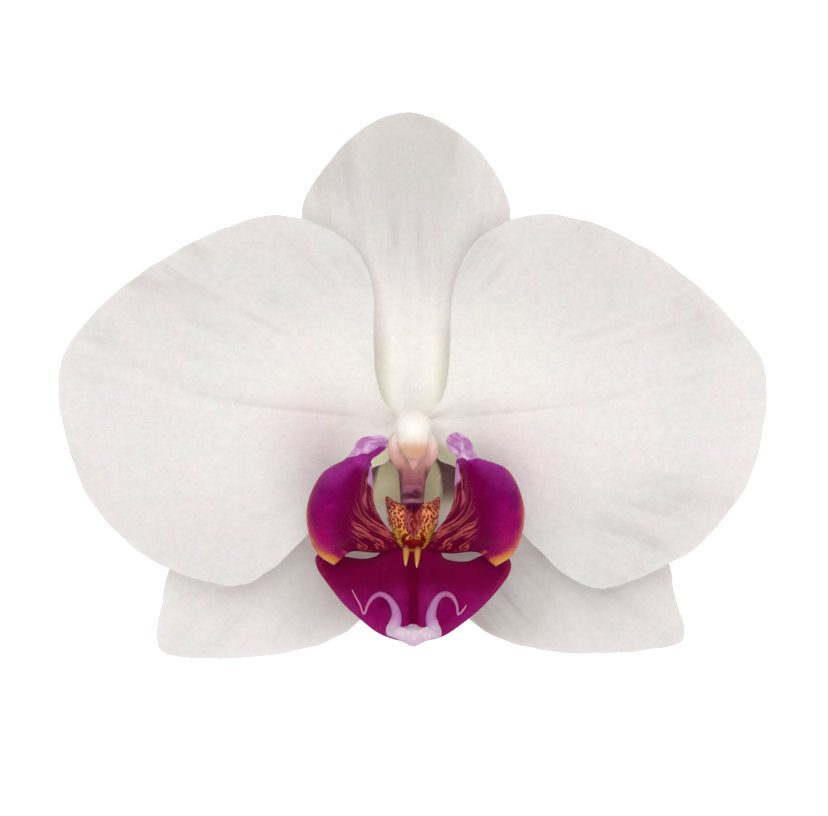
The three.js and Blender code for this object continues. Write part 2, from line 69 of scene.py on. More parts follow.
# ------------------------------------------------------------------ the bloom's own frame
# Shapes are laid out in millimetres from the place where the organs meet, with x to the viewer's right, y
# towards the dorsal sepal and z out of the face. The column gives that place, as its back edge and its top
# are at known distances from it.
MM = 0.001
COLUMN_BACK = 1.6
COLUMN_TOP = 8.6
COLUMN_LOW, COLUMN_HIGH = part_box("column")
MEETING = Vector((
    (COLUMN_LOW[0] + COLUMN_HIGH[0]) / 2,
    COLUMN_HIGH[1] - COLUMN_BACK * MM,
    COLUMN_HIGH[2] - COLUMN_TOP * MM,
))
REST_HEIGHT = -MEETING[2] / MM  # the surface that the bloom lies on
SEPAL_LEVEL = -1.0  # where the sepals start, behind the petals
LIP_LEVEL = 5.0  # the midlobe's upper margin
LIP_MARGIN = -17  # that margin's place along y

# ------------------------------------------------------------------ how finely the pieces are made
BLADE_RINGS = 44  # from the middle of a petal, sepal or lip blade to its margin
TEPAL_AROUND = 300  # points around a petal or sepal
SPAN = 12  # points between two points of an outline


def node_box(node):
    """A node's lowest and highest corners, in the bloom's own millimetres."""
    low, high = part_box(node)
    return (np.array(low) - MEETING) / MM, (np.array(high) - MEETING) / MM


# ------------------------------------------------------------------ outlines, as shares of each organ's box
PETAL_LEFT = [
    (1.03, 0.43), (1.002, 0.459), (0.983, 0.476), (0.96, 0.508), (0.94, 0.59), (0.938, 0.7),
    (0.937, 0.78), (0.91, 0.87), (0.84, 0.938), (0.724, 0.984), (0.615, 0.994), (0.448, 0.946),
    (0.26, 0.852), (0.128, 0.757), (0.022, 0.645), (-0.008, 0.545), (0.006, 0.435), (0.048, 0.305),
    (0.107, 0.205), (0.215, 0.105), (0.335, 0.04), (0.47, 0.003), (0.535, 0), (0.59, 0.02), (0.695, 0.094),
    (0.85, 0.26), (0.935, 0.317), (0.98, 0.335), (1.01, 0.385),
]
PETAL_RIGHT = [
    (-0.03, 0.435), (0, 0.47), (0.029, 0.507), (0.047, 0.569), (0.054, 0.66), (0.056, 0.75),
    (0.07, 0.825), (0.102, 0.893), (0.149, 0.94), (0.236, 0.984), (0.33, 1), (0.437, 0.986),
    (0.537, 0.958), (0.668, 0.893), (0.808, 0.798), (0.915, 0.701), (0.99, 0.61), (1.004, 0.533),
    (0.996, 0.44), (0.972, 0.345), (0.926, 0.25), (0.805, 0.12), (0.7, 0.06), (0.585, 0.016), (0.5, 0),
    (0.405, 0.034), (0.28, 0.137), (0.14, 0.275), (0.065, 0.327), (0.02, 0.345), (-0.01, 0.394),
]
DORSAL_SEPAL = [
    (0.5, -0.08), (0.38, -0.07), (0.33, 0), (0.28, 0.12), (0.19, 0.26), (0.06, 0.42), (-0.03, 0.58),
    (-0.032, 0.67), (-0.004, 0.735), (0.067, 0.812), (0.162, 0.892), (0.288, 0.967), (0.42, 1.002),
    (0.53, 1.002), (0.665, 0.962), (0.798, 0.887), (0.893, 0.802), (0.946, 0.725), (0.967, 0.648),
    (0.96, 0.56), (0.9, 0.43), (0.79, 0.26), (0.71, 0.12), (0.67, 0), (0.62, -0.07),
]
LATERAL_SEPAL_LEFT = [
    (0.977, 0.955), (0.895, 1), (0.71, 0.94), (0.47, 0.84), (0.23, 0.685), (0.082, 0.52), (0.036, 0.36),
    (0.012, 0.21), (-0.005, 0.085), (0.018, 0.01), (0.14, -0.015), (0.317, -0.015), (0.51, 0.01),
    (0.685, 0.07), (0.81, 0.17), (0.9, 0.355), (0.96, 0.55), (1, 0.764), (0.995, 0.9),
]
LATERAL_SEPAL_RIGHT = [
    (0.023, 0.95), (0.1, 1), (0.28, 0.93), (0.52, 0.85), (0.757, 0.7), (0.9, 0.53), (0.945, 0.38),
    (0.957, 0.29), (0.972, 0.2), (1, 0.1), (0.988, 0.022), (0.88, -0.012), (0.72, -0.028), (0.53, -0.025),
    (0.33, 0.03), (0.187, 0.14), (0.096, 0.33), (0.04, 0.53), (0, 0.75), (0.005, 0.895),
]

# ------------------------------------------------------------------ outlines of the lip, in millimetres
MIDLOBE = [
    (-13, -18), (-12.7, -19.6), (-11.7, -21.1), (-9.4, -24), (-7.2, -26), (-5.2, -27.6), (-3.6, -28.4),
    (-1.5, -29), (0, -29.3), (1.4, -29), (3.5, -28.5), (5.1, -27.7), (7.3, -26.1), (9.5, -24.2), (11.5, -22),
    (12.7, -20.3), (13, -18.9), (12.3, -18.1), (9.6, -17.8), (7.2, -18.7), (4.4, -18.4), (3.6, -17.4),
    (3.4, -16), (2, -15.2), (0, -15), (-2.4, -15.2), (-3.9, -16), (-4.2, -17.1), (-5, -18), (-6.9, -18.35),
    (-9.4, -18), (-11.6, -17.6),
]
CALLUS = [
    (0, -11.7), (-0.9, -11.2), (-1.8, -10.9), (-2.7, -10.5), (-3.55, -9.95), (-3.6, -10.9), (-3.35, -12.1),
    (-3.25, -13.3), (-2.75, -14.3), (-2.35, -15.4), (-1.8, -16.3), (-1, -16.9), (0, -17.1), (1, -16.9),
    (1.75, -16.3), (2.3, -15.4), (2.7, -14.4), (3.15, -13.4), (3.3, -12.1), (3.45, -11), (3.4, -10.05),
    (2.6, -10.55), (1.7, -10.9), (0.8, -11.2),
]
LIP_TIP = [
    (-3.1, -26.7), (-2.3, -26.95), (-1.3, -27.15), (0, -27), (1.4, -27.2), (2.3, -26.95), (3, -26.7),
    (3.5, -27.4), (3.55, -28.4), (2.4, -28.75), (1.4, -29.05), (0, -29.65), (-1.2, -29.15), (-2.2, -28.75),
    (-3.4, -28.3), (-3.5, -27.4),
]
# A side lobe's sheet runs through five lines of x, y and z, from its inner edge to its outer rim. Each starts
# at the lobe's base and climbs towards its shoulder, where the line of the ear carries it on. They are for a
# lobe on the right, and the left one is mirrored. The ears differ.
SIDE_LOBE = [
    [(1.6, -17, 5.3), (2.8, -14.8, 6.4), (4.2, -13, 8.0), (5.2, -10.8, 9.7), (5.4, -8.1, 10.8)],
    [(4.8, -17.4, 6.2), (6.5, -15.6, 8.8), (7.7, -12.8, 11.1), (7.7, -9.5, 12.3), (7.2, -6.6, 12.8)],
    [(8.2, -17.2, 7.8), (9.6, -15.6, 10.6), (10.8, -12.6, 12.4), (10.5, -9.2, 13.1), (9.0, -6.4, 13.2)],
    [(10.0, -18.5, 8.2), (12.0, -16.6, 9.9), (13.2, -13.6, 11.3), (13.0, -9.9, 12.0), (11.1, -6.6, 12.4)],
    [(10.6, -19.0, 7.4), (12.9, -17.3, 8.3), (14.1, -14.0, 9.5), (14.0, -10.5, 10.5), (12.2, -6.8, 11.4)],
]
EAR_LEFT = [
    [(5.6, -5.9, 11.6), (5.6, -4.85, 12.2), (4.6, -4.05, 12.6), (3.4, -3.0, 12.6)],
    [(6.4, -5.1, 13.0), (6.0, -4.2, 13.0), (4.7, -3.4, 13.2), (3.3, -2.6, 12.9)],
    [(7.4, -4.8, 13.2), (6.8, -3.75, 13.3), (5.4, -2.75, 13.3), (3.4, -2.2, 12.8)],
    [(8.5, -4.9, 12.7), (7.6, -3.5, 13.1), (6.3, -2.15, 12.9), (3.8, -1.85, 12.4)],
    [(9.4, -5.1, 12.1), (8.0, -4.1, 12.5), (7.4, -2.4, 12.3), (4.4, -1.6, 12.0)],
]
EAR_RIGHT = [
    [(5.7, -5.5, 11.6), (5.85, -4.45, 12.2), (5.1, -3.75, 12.7), (4.5, -3.0, 12.8)],
    [(6.6, -4.8, 13.0), (6.2, -3.75, 12.9), (5.3, -2.9, 13.3), (4.4, -2.2, 13.1)],
    [(7.6, -4.7, 13.2), (7.0, -3.5, 13.3), (6.2, -2.4, 13.4), (4.9, -1.5, 12.9)],
    [(8.6, -4.9, 12.7), (7.6, -3.6, 13.2), (7.1, -2.4, 13.1), (5.8, -1.2, 12.7)],
    [(9.5, -5.4, 12.1), (8.05, -4.1, 12.6), (7.85, -3.0, 12.4), (6.8, -1.8, 12.2)],
]
# Tendrils: x, y, height above the midlobe and half-width.
TENDRIL_LEFT = [
    (-2.9, -28, -0.3, 0.45), (-2.55, -27, 0.3, 0.8), (-2.25, -25.9, 0.9, 0.68), (-2.5, -24.6, 1.6, 0.5),
    (-3.3, -23.4, 2.2, 0.37), (-4.4, -22.85, 2.4, 0.33), (-5.4, -23.3, 2.2, 0.27), (-6.1, -24.3, 1.7, 0.18),
    (-6.45, -25.3, 1.3, 0.16), (-6.75, -25.35, 1.4, 0.13), (-7.1, -24.3, 2, 0.1), (-7.6, -23.4, 2.4, 0.09),
    (-8.2, -22.3, 2.8, 0.06),
]
TENDRIL_RIGHT = [
    (2.9, -28, -0.3, 0.45), (2.6, -27, 0.3, 0.8), (2.35, -25.9, 0.9, 0.7), (2.6, -24.6, 1.6, 0.54),
    (3.3, -23.3, 2.2, 0.4), (4.3, -22.8, 2.4, 0.36), (5.2, -23.2, 2.2, 0.28), (5.8, -24.3, 1.7, 0.17),
    (5.95, -25.5, 1.3, 0.14), (6.3, -25.35, 1.5, 0.12), (6.7, -24.9, 1.9, 0.1), (7.1, -24.3, 2.2, 0.06),
]


# ------------------------------------------------------------------ curves and meshes
def catmull(points, closed, per_span):
    """Points along a smooth curve through a few points, per_span of them for each span."""
    p = np.asarray(points, float)
    count = len(p)
    spans = count if closed else count - 1
    if closed:
        before, start, end, after = (np.roll(p, shift, axis=0) for shift in (1, 0, -1, -2))
    else:
        padded = np.vstack([2 * p[0] - p[1], p, 2 * p[-1] - p[-2]])
        before, start, end, after = (padded[k:k + spans] for k in range(4))
    t = np.arange(per_span)[None, :, None] / per_span
    a, b, c, d = (q[:, None, :] for q in (before, start, end, after))
    bend, twist = 2 * a - 5 * b + 4 * c - d, 3 * b - a - 3 * c + d
    curve = 0.5 * (2 * b + (c - a) * t + bend * t ** 2 + twist * t ** 3)
    curve = curve.reshape(-1, p.shape[1])
    return curve if closed else np.vstack([curve, p[-1]])


def evenly(points, count, closed):
    """The same curve with count points at even spacing."""
    p = np.vstack([points, points[:1]]) if closed else points
    run = np.concatenate([[0], np.cumsum(np.linalg.norm(np.diff(p[:, :2], axis=0), axis=1))])
    places = np.linspace(0, run[-1], count + 1)[:-1] if closed else np.linspace(0, run[-1], count)
    return np.column_stack([np.interp(places, run, p[:, k]) for k in range(p.shape[1])])


def smooth(low, high, value):
    """0 at low and before it, 1 at high and past it, with an even rise between. high may be the smaller."""
    t = np.clip((value - low) / (high - low), 0, 1)
    return t * t * (3 - 2 * t)


def hump(value, width):
    """1 where value is 0, falling off evenly on both sides over about the given width."""
    return np.exp(-(value / width) ** 2)


def ripple(x, y, size, seed):
    """Soft random unevenness between about -1 and 1, over features of the given size in millimetres."""
    stretch = 1.6  # the noise itself stays within about 0.6
    flat = np.column_stack([np.ravel(x), np.ravel(y)]) / size
    values = [noise.noise(Vector((px, py, seed))) for px, py in flat]
    return np.array(values).reshape(np.shape(x)) * stretch


def vectors(x, y, z):
    """One vector for each point, from lists or single numbers."""
    return np.column_stack(np.broadcast_arrays(x, y, z))


def closed_curve(points, around, per_span=SPAN):
    """An outline through a few points, with around points evenly spaced on it."""
    return evenly(catmull(points, True, per_span), around, True)


def keep_vectors(mesh, label, values):
    """Keeps a vector on each point of a mesh, for its material to read under the label."""
    layer = mesh.attributes.new(label, "FLOAT_VECTOR", "POINT")
    layer.data.foreach_set("vector", np.asarray(values, np.float32).ravel())


def shade_smooth(mesh):
    """Makes a mesh look rounded across its faces."""
    mesh.polygons.foreach_set("use_smooth", np.ones(len(mesh.polygons), bool))
    mesh.update()


def make_object(name, points, faces, material, **kept):
    """A piece from points in the bloom's millimetres. kept holds vectors for its material, by label."""
    mesh = bpy.data.meshes.new(name)
    placed = np.asarray(points) * MM + np.array(MEETING)
    mesh.from_pydata(placed.tolist(), [], faces)
    mesh.update()
    for label, values in kept.items():
        keep_vectors(mesh, label, values)
    shade_smooth(mesh)
    mesh.materials.append(material)
    piece = bpy.data.objects.new(name, mesh)
    bpy.context.collection.objects.link(piece)
    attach(piece, "root")
    return piece


def skin_faces(loops, around):
    """Faces of a closed body made of loops with a point at each end, which comes first and last."""
    def at(level, i):
        return 1 + level * around + i % around

    faces = []
    last = 1 + loops * around
    for i in range(around):
        faces.append((0, at(0, i + 1), at(0, i)))
        faces.append((last, at(loops - 1, i), at(loops - 1, i + 1)))
        for k in range(loops - 1):
            faces.append((at(k, i), at(k, i + 1), at(k + 1, i + 1), at(k + 1, i)))
    return faces


def blade(outline, height, thickness, rim, rings, bottom=None):
    """Points, faces and rim shares of a thin body with a rounded rim, from its outline and mid-surface.

    bottom, if given, is the height of its underside, and thickness is then not used.
    """
    around = len(outline)
    middle = outline.mean(axis=0)
    # The rings lie closer together towards the rim, where the blade thins.
    shares = 1 - (1 - np.linspace(0, 1, rings + 1)[1:]) ** 1.7
    plan = middle + shares[:, None, None] * (outline - middle)
    level = height(plan[..., 0], plan[..., 1], shares[:, None])
    half = (rim + (thickness - rim) * (1 - shares[:, None] ** 5)) / 2
    along = np.roll(outline, -1, axis=0) - np.roll(outline, 1, axis=0)
    outwards = np.column_stack([along[:, 1], -along[:, 0]])
    outwards /= np.linalg.norm(outwards, axis=1)[:, None]
    if np.sum(outwards * (outline - middle)) < 0:
        outwards = -outwards
    turn = np.radians([60, 30, 0, -30, -60])
    rim_plan = outline[None] + rim / 2 * np.cos(turn)[:, None, None] * outwards[None]
    rim_level = level[-1][None] + rim / 2 * np.sin(turn)[:, None]
    under = level - half if bottom is None else bottom(plan[..., 0], plan[..., 1])
    if bottom is not None:
        rim_level = level[-1][None] + (np.sin(turn)[:, None] - 1) * (level[-1] - under[-1])[None] / 2
    top = np.dstack([plan, level + (half if bottom is None else 0)])
    low = np.dstack([plan, under])[::-1]
    loops = np.concatenate([top, np.dstack([rim_plan, rim_level]), low])
    first = [*middle, float(top[0, :, 2].mean())]
    final = [*middle, float(low[-1, :, 2].mean())]
    points = np.vstack([first, loops.reshape(-1, 3), final])
    edge = np.concatenate([shares, np.ones(len(turn)), shares[::-1]])
    edge = np.concatenate([[0], np.repeat(edge, around), [0]])
    return points, skin_faces(len(loops), around), edge


def tube(line, radii, sides, flatness=1.0):
    """Points, faces and shares along a bar of changing radius. Its height is flatness times its width."""
    line = np.asarray(line)
    along = np.gradient(line, axis=0)
    along /= np.linalg.norm(along, axis=1)[:, None]
    across = np.cross(along[0], [0, 0, 1])
    loops = []
    for place, direction, radius in zip(line, along, radii):
        across = across - direction * across.dot(direction)
        across /= np.linalg.norm(across)
        up = np.cross(across, direction)
        angles = 2 * np.pi * np.arange(sides) / sides
        ring = np.outer(np.cos(angles), across) + flatness * np.outer(np.sin(angles), up)
        loops.append(place + radius * ring)
    points = np.vstack([line[0], *loops, line[-1]])
    share = np.linspace(0, 1, len(line))
    return points, skin_faces(len(line), sides), np.concatenate([[0], np.repeat(share, sides), [1]])


def sheet(grid, half):
    """Points and faces of a thin sheet, from a grid of points and the half-thickness at each.

    The two faces meet where the half-thickness is nothing, along the border.
    """
    down, across = grid.shape[:2]
    side = np.gradient(grid, axis=0)
    run = np.gradient(grid, axis=1)
    normal = np.cross(side, run)
    normal /= np.linalg.norm(normal, axis=2)[..., None]
    points = np.vstack([(grid + normal * half[..., None]).reshape(-1, 3),
                        (grid - normal * half[..., None]).reshape(-1, 3)])
    rows, columns = np.meshgrid(np.arange(down - 1), np.arange(across - 1), indexing="ij")
    corner = (rows * across + columns).ravel()
    front = np.column_stack([corner, corner + across, corner + across + 1, corner + 1])
    back = front[:, ::-1] + down * across
    return points, np.vstack([front, back]).tolist()


def weld(piece):
    """Joins points of a piece that lie in one place."""
    modifier = piece.modifiers.new("weld", "WELD")
    modifier.merge_threshold = 1e-6
    apply_modifiers(piece)


def apply_modifiers(piece):
    """Gives a piece the mesh that its modifiers make, and clears them."""
    graph = bpy.context.evaluated_depsgraph_get()
    graph.update()
    finished = piece.evaluated_get(graph)
    mesh = bpy.data.meshes.new_from_object(finished, preserve_all_data_layers=True, depsgraph=graph)
    old = piece.data
    piece.modifiers.clear()
    piece.data = mesh
    bpy.data.meshes.remove(old)


def bare(bodies):
    """Bodies for merged to join, with nothing kept on their points."""
    return [(points, faces, np.zeros((len(points), 3))) for points, faces in bodies]


def merged(parts):
    """One list of points, faces and grain from several bodies."""
    points, faces, grain, start = [], [], [], 0
    for part_points, part_faces, part_grain in parts:
        points.append(part_points)
        faces.extend([tuple(start + i for i in face) for face in part_faces])
        grain.append(part_grain)
        start += len(part_points)
    return np.vstack(points), faces, np.vstack(grain)


# ------------------------------------------------------------------ materials
def tint(red, green, blue):
    """A linear colour from the usual 0 to 255 values."""
    linear = [((c / 255 + 0.055) / 1.055) ** 2.4 if c > 10 else c / 255 / 12.92 for c in (red, green, blue)]
    return (*linear, 1.0)


class Finish:
    """A material and the few kinds of node that its pattern is drawn with."""

    def __init__(self, name):
        self.material = bpy.data.materials.new(name)
        self.material.use_nodes = True
        self.tree = self.material.node_tree
        self.surface = self.tree.nodes["Principled BSDF"]

    def put(self, socket, value):
        """Links a socket to another one, or sets its value."""
        if isinstance(value, bpy.types.NodeSocket):
            self.tree.links.new(value, socket)
        elif value is not None:
            socket.default_value = value

    def node(self, kind, inputs, output=0, **settings):
        """One output of a new node with the given inputs and settings."""
        node = self.tree.nodes.new(kind)
        for key, value in settings.items():
            setattr(node, key, value)
        for key, value in inputs.items():
            self.put(node.inputs[key], value)
        return node.outputs[output]

    def grain(self, label):
        """The vectors that the mesh keeps under a label."""
        return self.node("ShaderNodeAttribute", {}, "Vector", attribute_name=label)

    def place(self):
        """Where a point lies in the frame, in metres."""
        return self.node("ShaderNodeTexCoord", {}, "Object")

    def part(self, vector, axis):
        return self.node("ShaderNodeSeparateXYZ", {"Vector": vector}, axis)

    def scaled(self, vector, scale):
        return self.node("ShaderNodeVectorMath", {0: vector, 1: scale}, operation="MULTIPLY")

    def math(self, operation, a, b=None, clamp=False):
        return self.node("ShaderNodeMath", {0: a, 1: b}, operation=operation, use_clamp=clamp)

    def noise(self, vector, scale, detail=2.0, roughness=0.5, distortion=0.0):
        inputs = {"Vector": vector, "Scale": scale, "Detail": detail, "Roughness": roughness,
                  "Distortion": distortion}
        return self.node("ShaderNodeTexNoise", inputs, "Fac")

    def noise_colour(self, vector, scale):
        return self.node("ShaderNodeTexNoise", {"Vector": vector, "Scale": scale, "Detail": 1.0}, "Color")

    def cells(self, vector, scale, randomness=1.0):
        """How far a point is from the middle of its cell."""
        inputs = {"Vector": vector, "Scale": scale, "Randomness": randomness}
        return self.node("ShaderNodeTexVoronoi", inputs, "Distance")

    def ramp(self, share, stops):
        """A blend through colours or plain numbers at places from 0 to 1."""
        node = self.tree.nodes.new("ShaderNodeValToRGB")
        self.put(node.inputs["Fac"], share)
        elements = node.color_ramp.elements
        while len(elements) < len(stops):
            elements.new(0.5)
        for element, (place, colour) in zip(elements, stops):
            element.position = place
            element.color = colour if isinstance(colour, tuple) else (colour, colour, colour, 1)
        return node.outputs["Color"]

    def mix(self, share, first, second, blend="MIX"):
        node = self.tree.nodes.new("ShaderNodeMix")
        node.data_type = "RGBA"
        node.blend_type = blend
        self.put(node.inputs[0], share)
        self.put(node.inputs[6], first)
        self.put(node.inputs[7], second)
        return node.outputs[2]

    def bump(self, height, distance, strength, onto=None):
        """A relief of the given height, added to another one if onto is given."""
        inputs = {"Height": height, "Distance": distance, "Strength": strength}
        if onto is not None:
            inputs["Normal"] = onto
        return self.node("ShaderNodeBump", inputs)

    def finish(self, colour, normal, roughness, **sockets):
        """The material, once the surface's colour, relief, roughness and other sockets are set."""
        self.put(self.surface.inputs["Base Color"], colour)
        self.put(self.surface.inputs["Normal"], normal)
        self.put(self.surface.inputs["Roughness"], roughness)
        for key, value in sockets.items():
            self.put(self.surface.inputs[key.replace("_", " ")], value)
        return self.material


def tepal_finish(name, colours, top_grey):
    """White petal tissue: soft mottling, fanning veins, cream near the centre and a fine frosted grain."""
    f = Finish(name)
    grain = f.grain("grain")
    shade = f.grain("shade")
    place = f.place()
    outwards = f.part(grain, "X")
    blotches = f.noise(place, 150, 3, 0.55)
    mottling = f.noise(place, 1000, 3, 0.65)
    speckle = f.noise(place, 2600, 2, 0.6)
    white = f.mix(f.ramp(blotches, [(0.38, 0.0), (0.62, 1.0)]), tuple(colours.cool), tuple(colours.blush))
    white = f.mix(f.ramp(outwards, [(0.05, 0.9), (0.5, 0.15), (0.8, 0.0)]), white, tuple(colours.cream))
    # The grey share is painted shade on the upper petals and sepals and near the lip; the veins use the same
    # grey.
    white = f.mix(f.ramp(f.part(shade, "Y"), [(0.0, 0.0), (1.0, top_grey)]), white, tuple(colours.grey))
    # Painted pinkish shade beside the lip.
    white = f.mix(f.ramp(f.part(shade, "X"), [(0.0, 0.0), (1.0, 0.7)]), white, tuple(colours.pink))
    # Green: the lateral sepals' own tint, and painted shade on the petals' claws and the dorsal sepal's base.
    white = f.mix(f.part(shade, "Z"), white, tuple(colours.green))
    # Purple at the sepals' bases: painted shade, with some purple tint of their own.
    white = f.mix(f.math("MULTIPLY", f.part(grain, "Z"), 0.92), white, tuple(colours.stain_and_shade))
    streaks = f.noise(f.scaled(grain, (1.4, 13, 0)), 1, 4, 0.65, 0.3)
    streaks = f.ramp(streaks, [(0.42, 0.0), (0.64, 1.0)])
    cloudy = f.ramp(f.noise(place, 90, 2, 0.5), [(0.45, 0.0), (0.62, 1.0)])
    grainy = f.math("MULTIPLY", cloudy, streaks)
    grainy = f.math("MULTIPLY", grainy, f.ramp(outwards, [(0.2, 0.0), (0.6, 0.18 + 0.45 * top_grey)]))
    grainy = f.math("MULTIPLY", grainy, f.math("ADD", f.part(shade, "Y"), 0.25))
    white = f.mix(grainy, white, tuple(colours.streaks))
    veins = f.noise(f.scaled(grain, (2.2, 42, 0)), 1, 3, 0.55, 0.25)
    vein_lines = f.ramp(veins, [(0.44, 0.0), (0.5, 1.0), (0.56, 0.0)])
    white = f.mix(f.math("MULTIPLY", vein_lines, 0.05), white, tuple(colours.grey))
    dust = f.math("ADD", f.math("MULTIPLY", mottling, 0.6), f.math("MULTIPLY", speckle, 0.4))
    frost = f.ramp(dust, [(0.3, tint(244, 244, 244)), (0.7, tint(255, 255, 255))])
    white = f.mix(1.0, white, frost, "MULTIPLY")
    normal = f.bump(veins, 0.00012, 0.35)
    normal = f.bump(f.cells(place, 2800), 0.00006, 0.3, normal)
    normal = f.bump(f.noise(place, 420, 3, 0.55), 0.00025, 0.25, normal)
    return f.finish(white, normal, f.ramp(speckle, [(0.2, 0.5), (0.8, 0.64)]), Specular_IOR_Level=0.35,
                    Subsurface_Weight=0.25, Subsurface_Radius=(1.0, 0.8, 0.7), Subsurface_Scale=0.0012,
                    Sheen_Weight=0.06, Sheen_Roughness=0.5)


def lip_finish(colours):
    """Velvety magenta with striped inner walls, orange rims and pale mauve ears."""
    f = Finish("lip_velvet")
    grain = f.grain("grain")
    shade = f.grain("shade")
    place = f.place()
    blotches = f.noise(place, 330, 3, 0.55)
    fine = f.noise(place, 1500, 3, 0.6)
    mottled = f.math("ADD", f.math("MULTIPLY", blotches, 0.6), f.math("MULTIPLY", fine, 0.4))
    velvet = f.mix(f.ramp(mottled, [(0.35, 0.0), (0.65, 1.0)]), tuple(colours.deep), tuple(colours.magenta))
    # Painted violet sheen where the surface turns up towards the light.
    violet = f.math("MULTIPLY", f.part(shade, "X"), f.ramp(mottled, [(0.36, 0.35), (0.62, 1.0)]))
    velvet = f.mix(violet, velvet, tuple(colours.violet))
    velvet = f.mix(f.math("MULTIPLY", f.part(grain, "Z"), mottled), velvet, tuple(colours.rose))
    # Maroon share: a band on the side lobes, the claw, and on the midlobe its darker upper part and painted
    # shade in its grooves.
    velvet = f.mix(f.part(shade, "Y"), velvet, tuple(colours.maroon))

    # Stripes run along the inner wall and join into a net near its base.
    lines = f.noise(f.scaled(grain, (15, 2.6, 0)), 1, 2.5, 0.55, 0.6)
    net = f.noise(f.scaled(grain, (11, 12, 0)), 1, 2, 0.5, 0.6)
    pattern = f.mix(f.ramp(f.part(grain, "Y"), [(0.04, 0.6), (0.24, 0.0)]), lines, net)
    stripe = f.ramp(pattern, [(0.438, 0.0), (0.466, 0.95), (0.504, 0.95), (0.532, 0.0)])
    stripe = f.math("MULTIPLY", stripe, f.ramp(f.part(grain, "Y"), [(0.02, 0.0), (0.08, 1.0)]))
    stripe_tint = f.mix(f.ramp(f.part(grain, "Y"), [(0.1, 1.0), (0.55, 0.0)]), tuple(colours.stripe_pink),
                        tuple(colours.stripe_orange))
    wall = f.mix(stripe, tuple(colours.maroon), stripe_tint)
    colour = f.mix(f.part(shade, "Z"), velvet, wall)

    rim = f.grain("rim")
    dusty = f.math("MULTIPLY", f.math("SUBTRACT", mottled, 0.5), 1.6)
    ragged = f.math("ADD", f.part(rim, "X"), dusty)
    colour = f.mix(f.ramp(ragged, [(0.15, 0.0), (0.8, 0.85)]), colour, tuple(colours.rim_red))
    colour = f.mix(f.ramp(ragged, [(0.6, 0.0), (1.1, 1.0)]), colour, tuple(colours.rim_orange))
    corner = f.math("ADD", f.part(rim, "Y"), f.math("MULTIPLY", dusty, f.part(rim, "Y")), clamp=True)
    colour = f.mix(corner, colour, tuple(colours.yellow))
    fuzz = f.math("MULTIPLY", f.math("SUBTRACT", f.noise(place, 2600, 3, 0.7), 0.5), 1.2)
    ear = f.math("ADD", f.part(rim, "Z"), f.math("MULTIPLY", fuzz, f.part(rim, "Z")), clamp=True)
    wrinkles = f.noise(f.scaled(grain, (9, 7, 0)), 1, 3, 0.6, 0.4)
    wrinkles = f.ramp(wrinkles, [(0.4, 0.0), (0.62, 1.0)])
    mauve = f.mix(wrinkles, tuple(colours.mauve), tuple(colours.pale_mauve))
    colour = f.mix(f.ramp(ear, [(0.25, 0.0), (0.75, 1.0)]), colour, mauve)
    normal = f.bump(f.cells(place, 3200), 0.00008, 0.45)
    normal = f.bump(blotches, 0.0003, 0.3, normal)
    return f.finish(colour, normal, f.ramp(fine, [(0.2, 0.42), (0.8, 0.6)]),
                    Specular_IOR_Level=0.25, Specular_Tint=tint(190, 40, 150),
                    Subsurface_Weight=0.1, Subsurface_Radius=(1.0, 0.2, 0.5), Subsurface_Scale=0.0008,
                    Sheen_Weight=0.03, Sheen_Roughness=0.35, Sheen_Tint=tint(190, 60, 200))


def callus_finish(colours):
    """Salmon cheeks with red-brown spots, a pink striped middle, a dark chin and a yellow lower edge."""
    f = Finish("callus_spotted")
    grain, shade, rim = f.grain("grain"), f.grain("shade"), f.grain("rim")
    place = f.place()
    wobble = f.noise(place, 900, 2, 0.5)
    cheek = f.mix(f.ramp(f.part(grain, "Y"), [(0.35, 0.0), (0.75, 1.0)]), tuple(colours.yellow),
                  tuple(colours.orange))
    cheek = f.mix(f.math("MULTIPLY", f.part(rim, "X"), 0.8), cheek, tuple(colours.callus_pink))
    ground = f.mix(f.part(shade, "Z"), cheek, tuple(colours.callus_pink))
    ground = f.mix(f.part(shade, "Y"), ground, tuple(colours.yellow))
    stray = f.scaled(f.noise_colour(place, 1100), (0.0004, 0.0004, 0.0004))
    warped = f.node("ShaderNodeVectorMath", {0: place, 1: stray}, operation="ADD")
    stretched = f.scaled(warped, (1.0, 0.6, 0.3))
    spots = f.ramp(f.cells(stretched, 4100, 0.85), [(0.47, 1.0), (0.58, 0.0)])
    spots = f.math("MULTIPLY", spots, f.ramp(f.part(shade, "Y"), [(0.2, 1.0), (0.8, 0.6)]))
    lines = f.noise(f.scaled(grain, (10, 4.5, 0.9)), 1, 2, 0.55, 0.8)
    lines = f.ramp(lines, [(0.42, 0.1), (0.46, 1.0), (0.53, 1.0), (0.57, 0.1)])
    marks = f.mix(f.part(shade, "Z"), spots, lines)
    colour = f.mix(marks, ground, tuple(colours.spot))
    colour = f.mix(f.part(shade, "X"), colour, tuple(colours.chin))
    # Painted maroon shade in the notch between the horns.
    colour = f.mix(f.part(rim, "Y"), colour, tuple(colours.maroon))
    normal = f.bump(wobble, 0.00012, 0.5)
    normal = f.bump(marks, 0.00005, 0.5, normal)
    return f.finish(colour, normal, f.ramp(wobble, [(0.2, 0.34), (0.8, 0.48)]),
                    Specular_IOR_Level=0.3, Specular_Tint=tint(240, 150, 90),
                    Subsurface_Weight=0.1, Subsurface_Radius=(1.0, 0.4, 0.15), Subsurface_Scale=0.0004)


